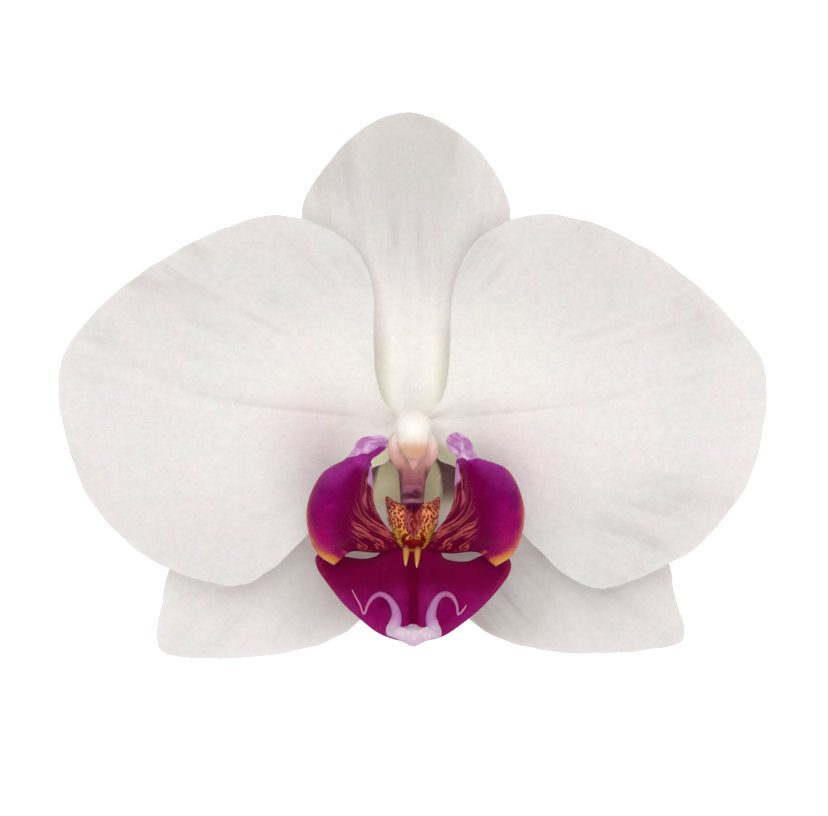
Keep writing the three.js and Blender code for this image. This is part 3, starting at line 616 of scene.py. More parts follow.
def tooth_finish(colours):
    """Olive yellow teeth with pale tips."""
    f = Finish("lip_teeth_yellow")
    fine = f.noise(f.place(), 1800, 3, 0.6)
    stray = f.math("MULTIPLY", f.math("SUBTRACT", fine, 0.5), 0.3)
    along = f.math("ADD", f.part(f.grain("grain"), "Z"), stray)
    colour = f.ramp(along, [(0.1, tuple(colours.spot)), (0.25, tint(184, 120, 44)), (0.7, tint(202, 142, 54)),
                            (0.95, tint(216, 172, 124))])
    return f.finish(colour, f.bump(fine, 0.0001, 0.4), f.ramp(fine, [(0.2, 0.36), (0.8, 0.5)]),
                    Specular_IOR_Level=0.4, Subsurface_Weight=0.15, Subsurface_Scale=0.0005)


def tendril_finish(colours):
    """White lip tip that turns mauve pink along the tendrils."""
    f = Finish("lip_tip_pale")
    grain = f.grain("grain")
    place = f.place()
    fine = f.noise(place, 1700, 3, 0.6)
    colour = f.ramp(f.part(grain, "X"), [(0.0, tuple(colours.tip_white)), (0.22, tuple(colours.tip_mauve)),
                                         (0.5, tuple(colours.tendril)), (1.0, tuple(colours.tendril_end))])
    colour = f.mix(f.ramp(fine, [(0.35, 0.0), (0.7, 0.25)]), colour, tuple(colours.tendril))
    colour = f.mix(f.part(grain, "Y"), colour, tuple(colours.magenta))
    normal = f.bump(f.noise(place, 1300, 3, 0.6), 0.0002, 0.4)
    return f.finish(colour, normal, f.ramp(fine, [(0.2, 0.36), (0.8, 0.5)]), Specular_IOR_Level=0.45,
                    Subsurface_Weight=0.3, Subsurface_Radius=(1.0, 0.6, 0.8), Subsurface_Scale=0.0007)


def column_finish():
    """Waxy column: peach under the cap, pink along its body and purple at its foot, deepened by painted
    shade.
    """
    f = Finish("column_wax")
    grain = f.grain("grain")
    place = f.place()
    clouds = f.noise(place, 600, 3, 0.55)
    # The ramp darkens towards the foot, partly with painted shade.
    down = f.math("ADD", f.part(grain, "X"), f.math("MULTIPLY", f.math("SUBTRACT", clouds, 0.5), 0.16))
    colour = f.ramp(down, [(0.0, tint(250, 244, 234)), (0.2, tint(250, 234, 220)),
                           (0.36, tint(236, 194, 190)), (0.54, tint(226, 176, 164)),
                           (0.7, tint(186, 124, 124)), (0.88, tint(156, 84, 100)), (1.0, tint(166, 98, 118))])
    patches = f.ramp(f.noise(place, 1500, 2, 0.5), [(0.3, 0.55), (0.5, 1.0)])
    low = f.ramp(f.part(grain, "Y"), [(0.1, 0.0), (0.8, 1.0)])
    # Purple patches: the foot's own spots, with painted shade down the sides and over the foot.
    colour = f.mix(f.math("MULTIPLY", patches, low), colour, tint(90, 0, 54))
    normal = f.bump(clouds, 0.0002, 0.3)
    return f.finish(colour, normal, f.ramp(clouds, [(0.2, 0.32), (0.8, 0.46)]), Specular_IOR_Level=0.45,
                    Subsurface_Weight=0.3, Subsurface_Radius=(1.0, 0.5, 0.35), Subsurface_Scale=0.001)


def cap_finish(colours):
    """Cream wax, peach where the pollen shows through towards the beak."""
    f = Finish("anther_cap_wax")
    place = f.place()
    clouds = f.noise(place, 900, 3, 0.55)
    toward_beak = f.part(f.grain("grain"), "X")
    toward_beak = f.math("ADD", toward_beak, f.math("MULTIPLY", f.math("SUBTRACT", clouds, 0.5), 0.14))
    colour = f.ramp(toward_beak, [(0.46, tuple(colours.cap)), (0.6, tint(254, 238, 228)),
                                  (0.69, tint(240, 204, 184)), (0.79, tint(224, 172, 126)),
                                  (0.88, tint(222, 168, 134)), (1.0, tint(222, 168, 154))])
    colour = f.mix(f.ramp(clouds, [(0.4, 0.0), (0.75, 0.3)]), colour, tint(250, 236, 226))
    normal = f.bump(clouds, 0.00015, 0.35)
    return f.finish(colour, normal, f.ramp(clouds, [(0.2, 0.28), (0.8, 0.42)]), Specular_IOR_Level=0.5,
                    Subsurface_Weight=0.35, Subsurface_Radius=(1.0, 0.75, 0.5), Subsurface_Scale=0.001)


def pollen_finish():
    """Glossy golden wax."""
    f = Finish("pollen_wax")
    clouds = f.noise(f.place(), 2200, 3, 0.6)
    colour = f.ramp(clouds, [(0.3, tint(214, 150, 30)), (0.7, tint(242, 196, 74))])
    return f.finish(colour, f.bump(clouds, 0.0001, 0.5), f.ramp(clouds, [(0.2, 0.25), (0.8, 0.4)]),
                    Subsurface_Weight=0.2, Subsurface_Scale=0.0005)


def stalk_finish(colours):
    """Pale green stalk, whiter at the bloom, with fine ribs and a wet pale cut."""
    f = Finish("stalk_green")
    grain = f.grain("grain")
    place = f.place()
    clouds = f.noise(place, 260, 3, 0.55)
    fine = f.noise(f.scaled(grain, (6, 14, 0)), 1, 3, 0.6)
    green = f.mix(f.ramp(clouds, [(0.35, 0.0), (0.65, 1.0)]), tuple(colours.stalk), tuple(colours.stalk_pale))
    green = f.mix(f.ramp(f.part(grain, "X"), [(0.0, 0.85), (0.3, 0.1)]), green, tint(232, 232, 208))
    green = f.mix(f.ramp(fine, [(0.55, 0.0), (0.8, 0.35)]), green, tint(140, 120, 84))
    pores = f.ramp(f.cells(place, 2400), [(0.1, 1.0), (0.3, 0.0)])
    pith = f.mix(pores, tint(222, 224, 184), tint(150, 168, 104))
    colour = f.mix(f.part(grain, "Z"), green, pith)
    normal = f.bump(fine, 0.0001, 0.4)
    return f.finish(colour, normal, f.ramp(clouds, [(0.2, 0.36), (0.8, 0.52)]), Specular_IOR_Level=0.45,
                    Subsurface_Weight=0.15, Subsurface_Radius=(0.6, 1.0, 0.3), Subsurface_Scale=0.001)


def floor_finish():
    """Matt white sweep of a light table."""
    f = Finish("white_table")
    fine = f.noise(f.place(), 90, 3, 0.5)
    colour = f.ramp(fine, [(0.3, 0.9), (0.7, 0.93)])
    f.put(f.surface.inputs["Emission Color"], (1, 1, 1, 1))
    f.put(f.surface.inputs["Emission Strength"], 0.6)
    return f.finish(colour, f.bump(fine, 0.00002, 0.2), 0.85, Specular_IOR_Level=0.1)


# ------------------------------------------------------------------ petals and sepals
def boxed_outline(shares, node, around, seed):
    """An organ's outline on its node's box, in the bloom's millimetres, with a slightly uneven margin."""
    inset = 0.12  # room for the rounded rim
    low, high = node_box(node)
    ring = np.array([low[:2] + np.array(share) * (high[:2] - low[:2]) for share in shares])
    outline = closed_curve(ring, around)
    middle = outline.mean(axis=0)
    far = smooth(6, 22, np.linalg.norm(outline, axis=1))
    uneven = 0.1 * ripple(outline[:, 0], outline[:, 1], 2.6, seed) * far
    inwards = middle - outline
    inwards /= np.linalg.norm(inwards, axis=1)[:, None]
    return outline + inwards * (inset + uneven)[:, None]


def margin_wave(x, y, share, waves, seed):
    """Gentle ruffling that grows towards the margin."""
    angle = np.arctan2(y, x)
    return share ** 5 * (0.28 * np.sin(waves * angle + seed) + 0.2 * np.sin(1.7 * waves * angle + 2.3 * seed))


def petal_height(x, y, share, seed):
    """Mid-surface of a petal: a low shoulder, an outer blade that falls back, a midrib and soft folds."""
    out = np.hypot(x, y)
    base = 1.0 + 1.9 * (1 - np.exp(-out / 7)) - 0.0026 * out ** 2
    rib = y - 0.1 * np.abs(x) - 0.011 * np.maximum(np.abs(x) - 20, 0) ** 2
    reach = smooth(3, 9, out) * (1 - smooth(23, 36, out))
    crease = 0.38 * hump(rib, 1.5) * smooth(4, 12, out) + 0.18 * hump(rib, 0.28) * reach
    step = 0.55 * (1 / (1 + np.exp(rib / 0.5)) - 0.5) * hump(rib, 7) * reach
    angle = np.arctan2(y, np.abs(x))
    valley = np.where(x < 0, 0.35, 0.7) * hump(angle + 0.55, 0.16) * smooth(6, 16, out)
    ridge = 1.1 * hump(angle + 0.86, 0.15) * smooth(8, 20, out) - valley
    upper = 0.35 * hump(angle - 0.55, 0.2) * smooth(10, 30, out)
    soft = 0.28 * ripple(x, y, 11, seed) * smooth(4, 14, out) + 0.05 * ripple(x, y, 2.2, seed + 3)
    return base - crease - step + ridge + upper + soft + margin_wave(x, y, share, 7, seed)


def dorsal_height(x, y, share, seed):
    """Mid-surface of the dorsal sepal, with a faint keel between two shallow troughs."""
    keel = 0.3 * hump(x, 0.9) - 0.3 * hump(np.abs(x) - 3.2, 1.8)
    base = SEPAL_LEVEL - 0.0011 * y ** 2 - 0.007 * x ** 2
    soft = 0.2 * ripple(x, y, 8, seed) * share + 0.8 * margin_wave(x, y - 20, share, 5, seed)
    return base + keel * (1 - smooth(28, 38, y)) + soft


def lateral_height(x, y, share, seed, farthest):
    """Mid-surface of a lateral sepal, bending down until its tip rests on the surface."""
    clear = 0.25  # what its tip keeps from the surface, for its own thickness
    drop = SEPAL_LEVEL - (REST_HEIGHT + clear)
    out = np.hypot(x, y) / farthest
    rib = np.arctan2(-y, np.abs(x)) - 0.72
    crease = 0.6 * hump(rib, 0.045) * smooth(0.15, 0.4, out) - 0.25 * hump(np.abs(rib) - 0.16, 0.07)
    lift = np.clip(1 - out, 0, 1) ** 0.5
    return SEPAL_LEVEL - drop * out ** 2.1 - crease * lift + 0.2 * ripple(x, y, 8, seed) * lift


def petal_marks(x, y, right):
    """How grey, green and purple a petal is at each point."""
    # The grey share is painted shade towards the top of the petal; below darkens its lower part too, more on
    # the right.
    below = 0.85 * smooth(-2, -14, y) if right else 0.5 * smooth(-5, -17, y)
    # green is painted shade on the claw below the column, tinted green.
    green = (1 - smooth(4.5, 8, np.abs(x))) * (1 - smooth(-3.6, -2.4, y))
    return smooth(4, 24, y) + below, green, 0


def dorsal_marks(x, y, right):
    """How grey, green and purple the dorsal sepal is at each point. Its base is shaded by the petals."""
    aside = np.abs(x)
    # The grey is painted shade: greyer towards the top, and the petals' painted shadow along the sides of the
    # base.
    grey = smooth(8, 36, y) * (1 - (0.4 + 0.15 * np.sign(x)) * smooth(4, 9, aside))
    grey = grey + 0.9 * smooth(2.6, 4.8, aside) * (1 - smooth(8, 17, y))
    # The green tints the petals' painted shadow.
    green = 0.25 * smooth(1.8, 4.6, aside) * (1 - smooth(7, 14, y))
    return grey, green, 0


def lateral_marks(x, y, right):
    """How grey, green and purple a lateral sepal is at each point. Its base has a pale oval amid purple."""
    aside = np.abs(x)
    # The grey near the lip is painted shadow of the petals and lip.
    shadow, everywhere = (1.5, 0.35) if right else (1.2, 0)
    grey = shadow * hump(np.hypot(aside - 12, y + 22), 7) + everywhere
    green = (1 - smooth(4.5, 8, aside)) * smooth(-12.5, -10.5, y)
    # The purple around the pale oval is painted shade from the side lobes, with some purple tint of the
    # sepal's own.
    centre, half = (2.6, 1.15) if right else (3.5, 1.55)
    oval = np.hypot((aside - centre) / half, (y + 8.6) / 3.5)
    fade = smooth(-11.9, -8.8, y) if right else smooth(-9.8, -6.6, y)
    purple = smooth(0.92, 1.15, oval) * smooth(2.4, 3.0, aside) * (1 - smooth(6, 8, aside)) * fade
    # A faint purple patch near the lip is painted shadow.
    purple = purple + (0.03 if right else 0.08) * hump(np.hypot(aside - 14.5, y + 24.5), 5)
    return grey, green, purple


def tepal(node, outline, height, marks, material, fan, ahead, sizes):
    """A petal or sepal. Its veins spread from the point fan, on both sides of the direction ahead."""
    thickness, rim = sizes.petal_thickness / MM, sizes.petal_rim / MM
    points, faces, _ = blade(outline, height, thickness, rim, BLADE_RINGS)
    low, high = node_box(node)
    right = low[0] + high[0] > 0
    x, y = points[:, 0], points[:, 1]
    ahead = np.array(ahead) / np.linalg.norm(ahead)
    forwards = (x - fan[0]) * ahead[0] + (y - fan[1]) * ahead[1]
    sideways = -(x - fan[0]) * ahead[1] + (y - fan[1]) * ahead[0]
    angle = np.arctan2(sideways, forwards)
    reach = np.hypot(x, y)
    # Painted pinkish shade on the petals beside the lip.
    pink_shade_near_lip = hump(np.hypot(np.abs(x) - 13.5, y + (6 if right else 2.5)), 7 if right else 6)
    grey, green, purple = marks(x, y, right)
    # Painted pink shade, green and purple are on the front face only, which comes first in the points.
    front = np.arange(len(points)) <= BLADE_RINGS * TEPAL_AROUND
    grain = vectors(reach / reach.max(), angle * (1 + 0.12 * smooth(10, 40, reach)), purple * front)
    shade = vectors(pink_shade_near_lip * front, grey, green * front)
    piece = make_object(f"{node}_blade", points, faces, material, grain=grain, shade=shade)
    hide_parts(node)


# ------------------------------------------------------------------ lip
def midlobe_base(x, y):
    """Height of the midlobe without its keel and folds. It climbs to its tip and droops to its sides."""
    length, climb, droop = 12.5, 5.4, 0.012
    share = np.clip((LIP_MARGIN - y) / length, 0, 1.1)
    return LIP_LEVEL + climb * share ** 1.2 - droop * x ** 2


def midlobe_height(x, y, share):
    """Mid-surface of the midlobe: a keel with two narrow grooves, and blades that arch away on each side."""
    keel = smooth(-16.5, -18.5, y) * (1 - smooth(-26, -27.5, y))
    grooves = 0.3 * hump(np.abs(x) - 0.32, 0.24) * keel
    swell = 0.45 * hump(np.abs(x) - 2.1, 1.5) * keel
    folds = 0.3 * hump(np.abs(x) - 6.8, 1.6) * smooth(-17, -22, y)
    edge = 0.25 * share ** 6 * np.sin(9 * np.arctan2(y + 21, x))
    return midlobe_base(x, y) - grooves + swell - folds + edge + 0.1 * ripple(x, y, 2.5, 21)


def midlobe(material, sizes):
    """The lip's front blade: painted shade in its grooves, painted sheen, and darker towards its upper
    margin.
    """
    outline = closed_curve(MIDLOBE, 320)
    thickness, rim = sizes.lip_thickness / MM, sizes.lip_rim / MM
    points, faces, edge = blade(outline, midlobe_height, thickness, rim, BLADE_RINGS)
    x, y = points[:, 0], points[:, 1]
    aside = np.abs(x)
    # Painted violet sheen on the swells beside the keel and the outer blades, with a lighter edge.
    painted_sheen = 0.45 * hump(aside - 2.3, 1.1) + 0.3 * smooth(5, 12.5, aside) + 0.5 * smooth(0.8, 1, edge)
    painted_sheen = np.clip(painted_sheen * smooth(-20, -24, y), 0, 0.75)
    # Darker towards the upper margin, and painted shade along the grooves beside the keel.
    dark = 0.12 + 0.7 * smooth(-23.2, -20, y + 0.15 * aside)
    dark = dark + (0.7 * hump(aside - 0.3, 0.25) + 0.4 * hump(x, 1.1)) * smooth(-17, -19, y)
    dark = np.clip(dark * (1 - 0.3 * smooth(8, 12.5, aside)), 0, 1)
    orange = 0.5 * smooth(0.9, 1, edge) * smooth(6, 11, aside) * smooth(-25, -20, y)
    return make_object("lip_midlobe", points, faces, material,
                       grain=vectors(x / 13, (y - LIP_MARGIN) / 12, 0.35),
                       shade=vectors(painted_sheen, dark, 0),
                       rim=vectors(orange, 0, 0))


def lobe_surface(ear_lines, scale):
    """A smooth grid of points over a right-hand side lobe and its ear. scale widens it from its root."""
    root = np.array([3.0, -15.5, 5.2])
    body = root + (np.array(SIDE_LOBE) - root) * [scale, scale, 1]
    runs = np.array([catmull(line, False, 15) for line in np.concatenate([body, ear_lines], axis=1)])
    return np.array([catmull(runs[:, k], False, 16) for k in range(runs.shape[1])])


def side_lobe(name, sign, ear_lines, scale, material, sizes):
    """One side lobe with its ear. u runs from 0 at its inner edge to 1 at its rim, and v from base to ear."""
    grid = lobe_surface(ear_lines, scale)
    down, across = grid.shape[:2]
    v = np.linspace(0, 1, down)[:, None] * np.ones(across)
    u = np.linspace(0, 1, across)[None, :] * np.ones((down, 1))
    x, y = grid[..., 0].copy(), grid[..., 1]

    # The ear's pale part ends at a slanting line, below which the shoulder has the painted violet sheen.
    shoulder = -3.1 - 0.31 * (x - 3.4) if sign < 0 else -4.3 - 0.16 * (x - 3.4)
    ear = smooth(-0.12, 0.2, y - shoulder) * smooth(0.56, 0.64, v)
    uneven = 0.16 * ripple(x, y, 1.9, 31 + sign)
    fold = 0.35 * hump(u - 0.25, 0.035) * (1 - ear) * smooth(0.05, 0.2, v)
    curl = (0.42 * np.sin(8 * u + 2.2) + 0.2 * np.sin(21 * u - 9 * v)) * smooth(0.66, 0.78, v)
    curl = curl + 0.3 * hump(u - 0.06, 0.06) * smooth(0.66, 0.78, v)
    grid[..., 2] += uneven + fold + curl
    grid[..., 0] *= sign
    border = np.minimum(np.minimum(u, 1 - u) * 12, np.minimum(v, 1 - v) * 22)
    taper = np.sqrt(1 - (1 - np.clip(border, 0, 1)) ** 2)
    half = sizes.lip_thickness / MM / 2 * taper * (0.55 + 0.45 * smooth(0, 4, border))
    points, faces = sheet(grid, half)

    # The throat's wall takes the inner part of the lobe up to its neck, below the ear.
    neck = smooth(0.52, 0.6, v)
    wall_end = 0.2 + 0.19 * (1 - smooth(0.02, 0.45, v))
    wall = (1 - smooth(-0.05, 0.05, u - wall_end)) * (1 - neck)
    # violet marks the painted sheen on the upper outer dome and the shoulder.
    violet = smooth(0.4, 0.62, v + 0.12 * u) * np.maximum(neck, smooth(0.32, 0.56, u))
    maroon = 0.85 * hump(u - wall_end - 0.07, 0.15) * (1 - smooth(0.4, 0.66, v))
    rose = smooth(wall_end + 0.1, wall_end + 0.35, u) * (1 - smooth(0.1, 0.4, v))
    orange = smooth(0.66, 0.95, u + 0.12 * (0.3 - v)) * (1 - 0.6 * smooth(0.25, 0.62, v))
    orange = orange * (1 - smooth(0.6, 0.7, v))
    orange = orange + (1 - smooth(0.0, 0.16, v)) * smooth(0.55, 0.8, u)
    orange = orange + 0.8 * hump(u - 0.57, 0.035) * (1 - smooth(0.03, 0.09, v))
    yellow = np.clip((1 - smooth(0.03, 0.17, v)) * smooth(0.68, 0.9, u) * 1.1, 0, 1)
    # Paler inner edge under the ear, partly the lobe's own back and partly painted highlight.
    pale = smooth(0.44, 0.5, v) * (1 - smooth(0.6, 0.64, v)) * (1 - smooth(0.09, 0.14, u))
    # Painted highlight along the upper part of the outer rim.
    pale = np.maximum(pale, 0.6 * smooth(0.86, 1, u) * smooth(0.3, 0.5, v))
    # Stripes slant up and outwards beside the callus, and then follow the wall.
    slanting = 0.1 * (0.7 * (x - y) - 10)
    stripes = slanting + (u - slanting) * smooth(0.08, 0.4, v)

    def both_faces(*values):
        return np.vstack([np.column_stack([np.ravel(value) for value in values])] * 2)

    lobe = make_object(name, points, faces, material,
                       grain=both_faces(stripes, v, rose),
                       shade=both_faces(violet, np.clip(maroon, 0, 1), wall),
                       rim=both_faces(np.clip(orange, 0, 1), yellow, np.maximum(ear, pale)))
    weld(lobe)
    return lobe


def lip_floor(x, y):
    """Height of the midlobe along its middle."""
    return midlobe_base(0 * x, y)


def callus_height(x, y, share):
    """Top of the callus: two full cheeks that rise into horns, a hollow between them and a rounded chin."""
    aside = np.abs(x)
    cheek = hump(aside - 1.85, 1.0) * smooth(-16.4, -13.8, y)
    horn = hump(aside - 3.3, 0.9) * smooth(-12.6, -10.2, y)
    crown = 2.7 * (0.52 + 0.3 * cheek + 0.45 * horn) * (1 - 0.7 * share ** 4)
    chin = 0.5 * hump(np.hypot(x, y + 16.0), 0.9)
    fangs = 0.3 * hump(np.hypot(aside - 1.3, y + 15.4), 0.45)
    keels = 0.1 * hump(aside - 0.45, 0.2) * smooth(-15.4, -14, y)
    pits = 0.08 * ripple(x, y, 0.5, 44)
    return lip_floor(x, y) + crown + chin + fangs + keels + pits


def callus(material):
    """The spotted callus on the midlobe's upper margin."""
    def underside(x, y):
        return lip_floor(x, y) - 0.3

    outline = closed_curve(CALLUS, 280)
    points, faces, edge = blade(outline, callus_height, 0.5, 0.3, BLADE_RINGS, bottom=underside)
    x, y = points[:, 0], points[:, 1]
    aside, ahead = np.abs(x), y + 17.3
    width = 1.25 * smooth(-16.2, -13.4, y) - 0.2 * smooth(-12.5, -11, y)
    middle = (1 - smooth(-0.35, 0.25, aside - width)) * smooth(-15.9, -15.2, y)
    chin = 1 - smooth(0.8, 1.1, np.hypot(x / 1.6, (y + 16.2) / 0.75))
    prongs = np.hypot((aside - 1.3 + 0.3 * (y + 15.4)) / 0.35, (y + 15.4) / 0.75)
    chin = np.maximum(chin, 1 - smooth(0.7, 1.1, prongs))
    low_rim = smooth(0.55, 0.85, edge) * (1 - smooth(-14.6, -13.2, y)) * (1 - 0.6 * chin)
    horn = smooth(-12.2, -10.8, y) * smooth(1.8, 3.2, aside)
    # Maroon shade is painted in the notch between the horns.
    notch = smooth(-12.6, -11.2, y) * (1 - smooth(0.7, 1.6, aside))
    return make_object("lip_callus", points, faces, material,
                       grain=vectors(np.arctan2(aside, ahead), np.hypot(x, ahead) / 7, x),
                       shade=vectors(chin, np.clip(low_rim, 0, 1), middle),
                       rim=vectors(horn, notch, 0))


def teeth(material):
    """Two yellow teeth that hang from the callus onto the midlobe."""
    root = -16.3
    share = np.linspace(0, 1, 24)
    parts = []
    for x, length in ((-0.92, 2.9), (0.6, 3.1)):
        y = np.linspace(root, root - length, len(share))
        line = np.column_stack([x + 0.05 * (y - root), y, midlobe_base(0 * y + x, y) + 0.62])
        radii = 0.54 * np.sqrt(np.clip(1 - share ** 4, 0.02, 1)) * (1 - 0.55 * share)
        points, faces, along = tube(line, radii, 20, 0.8)
        parts.append((points, faces, vectors(0.9, 0.2 - 0.2 * along, along)))
    points, faces, grain = merged(parts)
    return make_object("lip_teeth", points, faces, material, grain=grain)


def tendrils(material):
    """The lip's white tip and the two tendrils that rise from its corners."""
    parts = []
    for route in (TENDRIL_LEFT, TENDRIL_RIGHT):
        line = catmull(route, False, SPAN)
        height = midlobe_base(line[:, 0], line[:, 1]) + 0.4 + line[:, 2]
        place = np.column_stack([line[:, :2], height])
        points, faces, share = tube(place, line[:, 3], 20, 0.72)
        parts.append((points, faces, vectors(0.08 + 0.92 * share, 0, share)))

    def top(x, y, share):
        knob = 0.35 * hump(np.hypot(x, y + 28.9), 0.7) - 0.25 * hump(np.abs(x) - 1.3, 0.6)
        return midlobe_base(x, y) + 0.45 + 0.85 * (1 - share ** 2) + knob

    def underside(x, y):
        return midlobe_base(x, y) - 0.45

    outline = closed_curve(LIP_TIP, 160, 10)
    points, faces, edge = blade(outline, top, 0.6, 0.35, 24, bottom=underside)
    parts.append((points, faces, vectors(0.02 + 0.1 * edge, 0, edge)))
    points, faces, grain = merged(parts)
    return make_object("lip_tendrils", points, faces, material, grain=grain)


def claw(material):
    """The lip's claw, from the column's foot to under the callus, and the yoke between the side lobes."""
    line = catmull([(0, -8.2, 2.0), (0, -9.9, 3.0), (0, -11.7, 3.9), (0, -15, 4.4), (0, -18, 4.6)], False, 12)
    bar = tube(line, 0.9 + 0.6 * np.sin(np.linspace(0, np.pi, len(line))), 32, 0.75)[:2]
    line = catmull([(-4.6, -15.9, 4.9), (-2.5, -15.7, 4.4), (0, -15.6, 4.2), (2.5, -15.7, 4.4),
                    (4.6, -15.9, 4.9)], False, 10)
    yoke = tube(line, np.ones(len(line)), 24, 0.75)[:2]
    points, faces, blank = merged(bare([bar, yoke]))
    return make_object("lip_claw", points, faces, material, grain=blank, shade=blank + [0, 0.9, 0], rim=blank)


# ------------------------------------------------------------------ column, cap and stalk
def stacked(levels, sides, fineness):
    """A body through level ellipses, each given as height, centre along y, and half-widths."""
    rows = catmull(levels, False, fineness)
    angles = 2 * np.pi * np.arange(sides) / sides
    loops = [vectors(wide * np.cos(angles), centre + deep * np.sin(angles), height)
             for height, centre, wide, deep in rows]
    points = np.vstack([[0, rows[0][1], rows[0][0]], *loops, [0, rows[-1][1], rows[-1][0]]])
    return points, skin_faces(len(rows), sides)


def column_bodies():
    """The column's shaft, beak, foot and side wings, before they are melted together."""
    shaft = stacked([(-1.3, -0.6, 1.4, 1.4), (-0.3, -0.8, 1.8, 2.0), (0.8, -3.0, 2.1, 4.5),
                     (2.6, -3.9, 2.0, 5.4), (4.0, -3.5, 2.0, 5.0), (5.5, -2.7, 2.2, 4.0),
                     (7.2, -2.0, 2.5, 3.2), (8.5, -1.6, 2.5, 2.9)], 40, 8)
    line = catmull([(0, -3.0, 7.6), (0, -4.6, 7.9), (0, -5.7, 7.7), (0, -6.8, 7.2)], False, 8)
    beak = tube(line, np.linspace(1.25, 0.2, len(line)), 20, 0.8)[:2]
    line = catmull([(-0.15, -7, 1.9), (-0.15, -9.2, 3.1), (-0.15, -11.6, 4.9)], False, 8)
    foot = tube(line, np.linspace(1.85, 1.55, len(line)), 28, 0.7)[:2]
    wings = []
    for sign in (-1, 1):
        line = catmull([(sign * 1.6, -1.2, 7.9), (sign * 2.4, -2.8, 7.7), (sign * 2.45, -4.2, 7.0),
                        (sign * 1.7, -5.8, 5.6), (sign * 1.1, -8.2, 3.6)], False, 8)
        wings.append(tube(line, 0.45 + 0.45 * np.sin(np.linspace(0.7, np.pi, len(line))), 16)[:2])
    return [shaft, beak, foot, *wings]


def column(material):
    """The column, melted together from its bodies, with a hollow under the cap and purple at its foot."""
    points, faces, _ = merged(bare(column_bodies()))
    piece = make_object("column_body", points, faces, material)
    remesh = piece.modifiers.new("melt", "REMESH")
    remesh.mode = "VOXEL"
    remesh.voxel_size = 0.16 * MM
    soften = piece.modifiers.new("soften", "SMOOTH")
    soften.iterations = 10
    soften.factor = 0.6
    apply_modifiers(piece)

    mesh = piece.data
    places = np.empty(len(mesh.vertices) * 3, np.float32)
    mesh.vertices.foreach_get("co", places)
    places = (places.reshape(-1, 3) - np.array(MEETING)) / MM
    x, y, z = places.T
    y += 1.1 * hump(x, 1.25) * hump(z - 6.3, 1.0) * smooth(-2.0, -4.0, y)
    mesh.vertices.foreach_set("co", (places * MM + np.array(MEETING)).astype(np.float32).ravel())
    down = np.clip((0.5 - y) / 11.5 + 0.03 * (COLUMN_TOP - z), 0, 1)
    spots = hump(np.hypot((x + 1.1) / 0.75, (y + 9.8) / 0.42), 1)
    spots = spots + hump(np.hypot((x - 0.5) / 0.7, (y + 9.6) / 0.6), 1)
    # Spots are the foot's own; the purple down the sides and over the foot is partly painted shade.
    sides = smooth(1.2, 1.7, np.abs(x)) * smooth(-5, -7, y)
    purple = 1.5 * spots + 1.5 * smooth(-10.5, -11, y) + 0.7 * sides
    keep_vectors(mesh, "grain", vectors(down, purple, z))
    shade_smooth(mesh)
    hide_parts("column")


def anther_cap(material):
    """A waxy hood with a faint parting and a beak."""
    low, high = node_box("anther_cap")
    seat, radius = low[2], (high[0] - low[0]) / 2
    angles = np.radians(np.arange(-25, 206, 23))
    ring = [(radius * math.cos(a), -0.6 + radius * 0.86 * math.sin(a)) for a in angles]
    narrowing = [(0.86 * radius, -2.6), (0.72 * radius, -3.5), (0.4 * radius, -4.5)]
    ring += [(-x, y) for x, y in narrowing] + [(0, low[1])] + narrowing[::-1]

    def top(x, y, share):
        dome = (high[2] - seat - 0.2) * np.sqrt(np.clip(1 - share ** 2.4, 0, 1))
        lower_at_beak = 1 - 0.55 * smooth(-1.3, -4.4, y)
        parting = 0.2 * hump(x, 0.35) * smooth(-0.8, -2.6, y) * (1 - share)
        return seat + 0.3 + dome * lower_at_beak - parting

    def underside(x, y):
        return np.full(x.shape, seat)

    points, faces, _ = blade(closed_curve(ring, 160, 10), top, 0.5, 0.3, 36, bottom=underside)
    crown = 1.5  # where its colours start, above the bloom's centre
    toward_beak = np.clip((crown - points[:, 1]) / (crown - low[1]), 0, 1)
    piece = make_object("anther_cap_hood", points, faces, material, grain=vectors(toward_beak, 0, 0))
    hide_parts("anther_cap")


def stalk(material):
    """Ovary and pedicel, with faint ribs that twist along it and a pale cut end."""
    radius, rib, sides = 1.4, 0.05, 72
    lying = REST_HEIGHT + radius
    _, end, crown = node_box("pedicel")[1]
    route = [(0, -0.6, crown), (0, -0.6, crown - 0.9), (0, 0.3, crown - 2.5), (0.1, 3.2, lying + 1.5),
             (0.15, 7.5, lying + 0.2), (0, 13, lying), (-0.2, 20, lying), (0, 27, lying), (0, end, lying)]
    line = evenly(catmull(route, False, 30)[:, [1, 2, 0]], 220, False)[:, [2, 0, 1]]
    share = np.linspace(0, 1, len(line))
    ovary = 0.55 * (1 - smooth(0.12, 0.42, share)) + 0.75 * (1 - smooth(0, 0.09, share))
    points, faces, along = tube(line, radius - rib + ovary, sides)
    around = np.tile(2 * np.pi * np.arange(sides) / sides, len(line))
    ribs = rib * np.sin(6 * around + 5 * along[1:-1]) + 0.03 * ripple(30 * along[1:-1], 4 * around, 3, 61)
    centre = np.repeat(line, sides, axis=0)
    points[1:-1] = centre + (points[1:-1] - centre) * (1 + ribs / radius)[:, None]
    points[:, 2] = np.maximum(points[:, 2], REST_HEIGHT)
    cut = np.arange(len(points)) == len(points) - 1
    grain = vectors(along, np.concatenate([[0], around, [0]]), cut)
    piece = make_object("stalk_body", points, faces, material, grain=grain)
    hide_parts("pedicel")


# ------------------------------------------------------------------ sizes and colours a user may change
def length(name, description, default):
    """A length in metres."""
    return FloatProperty(name=name, description=description, default=default, min=0.00005, unit="LENGTH")


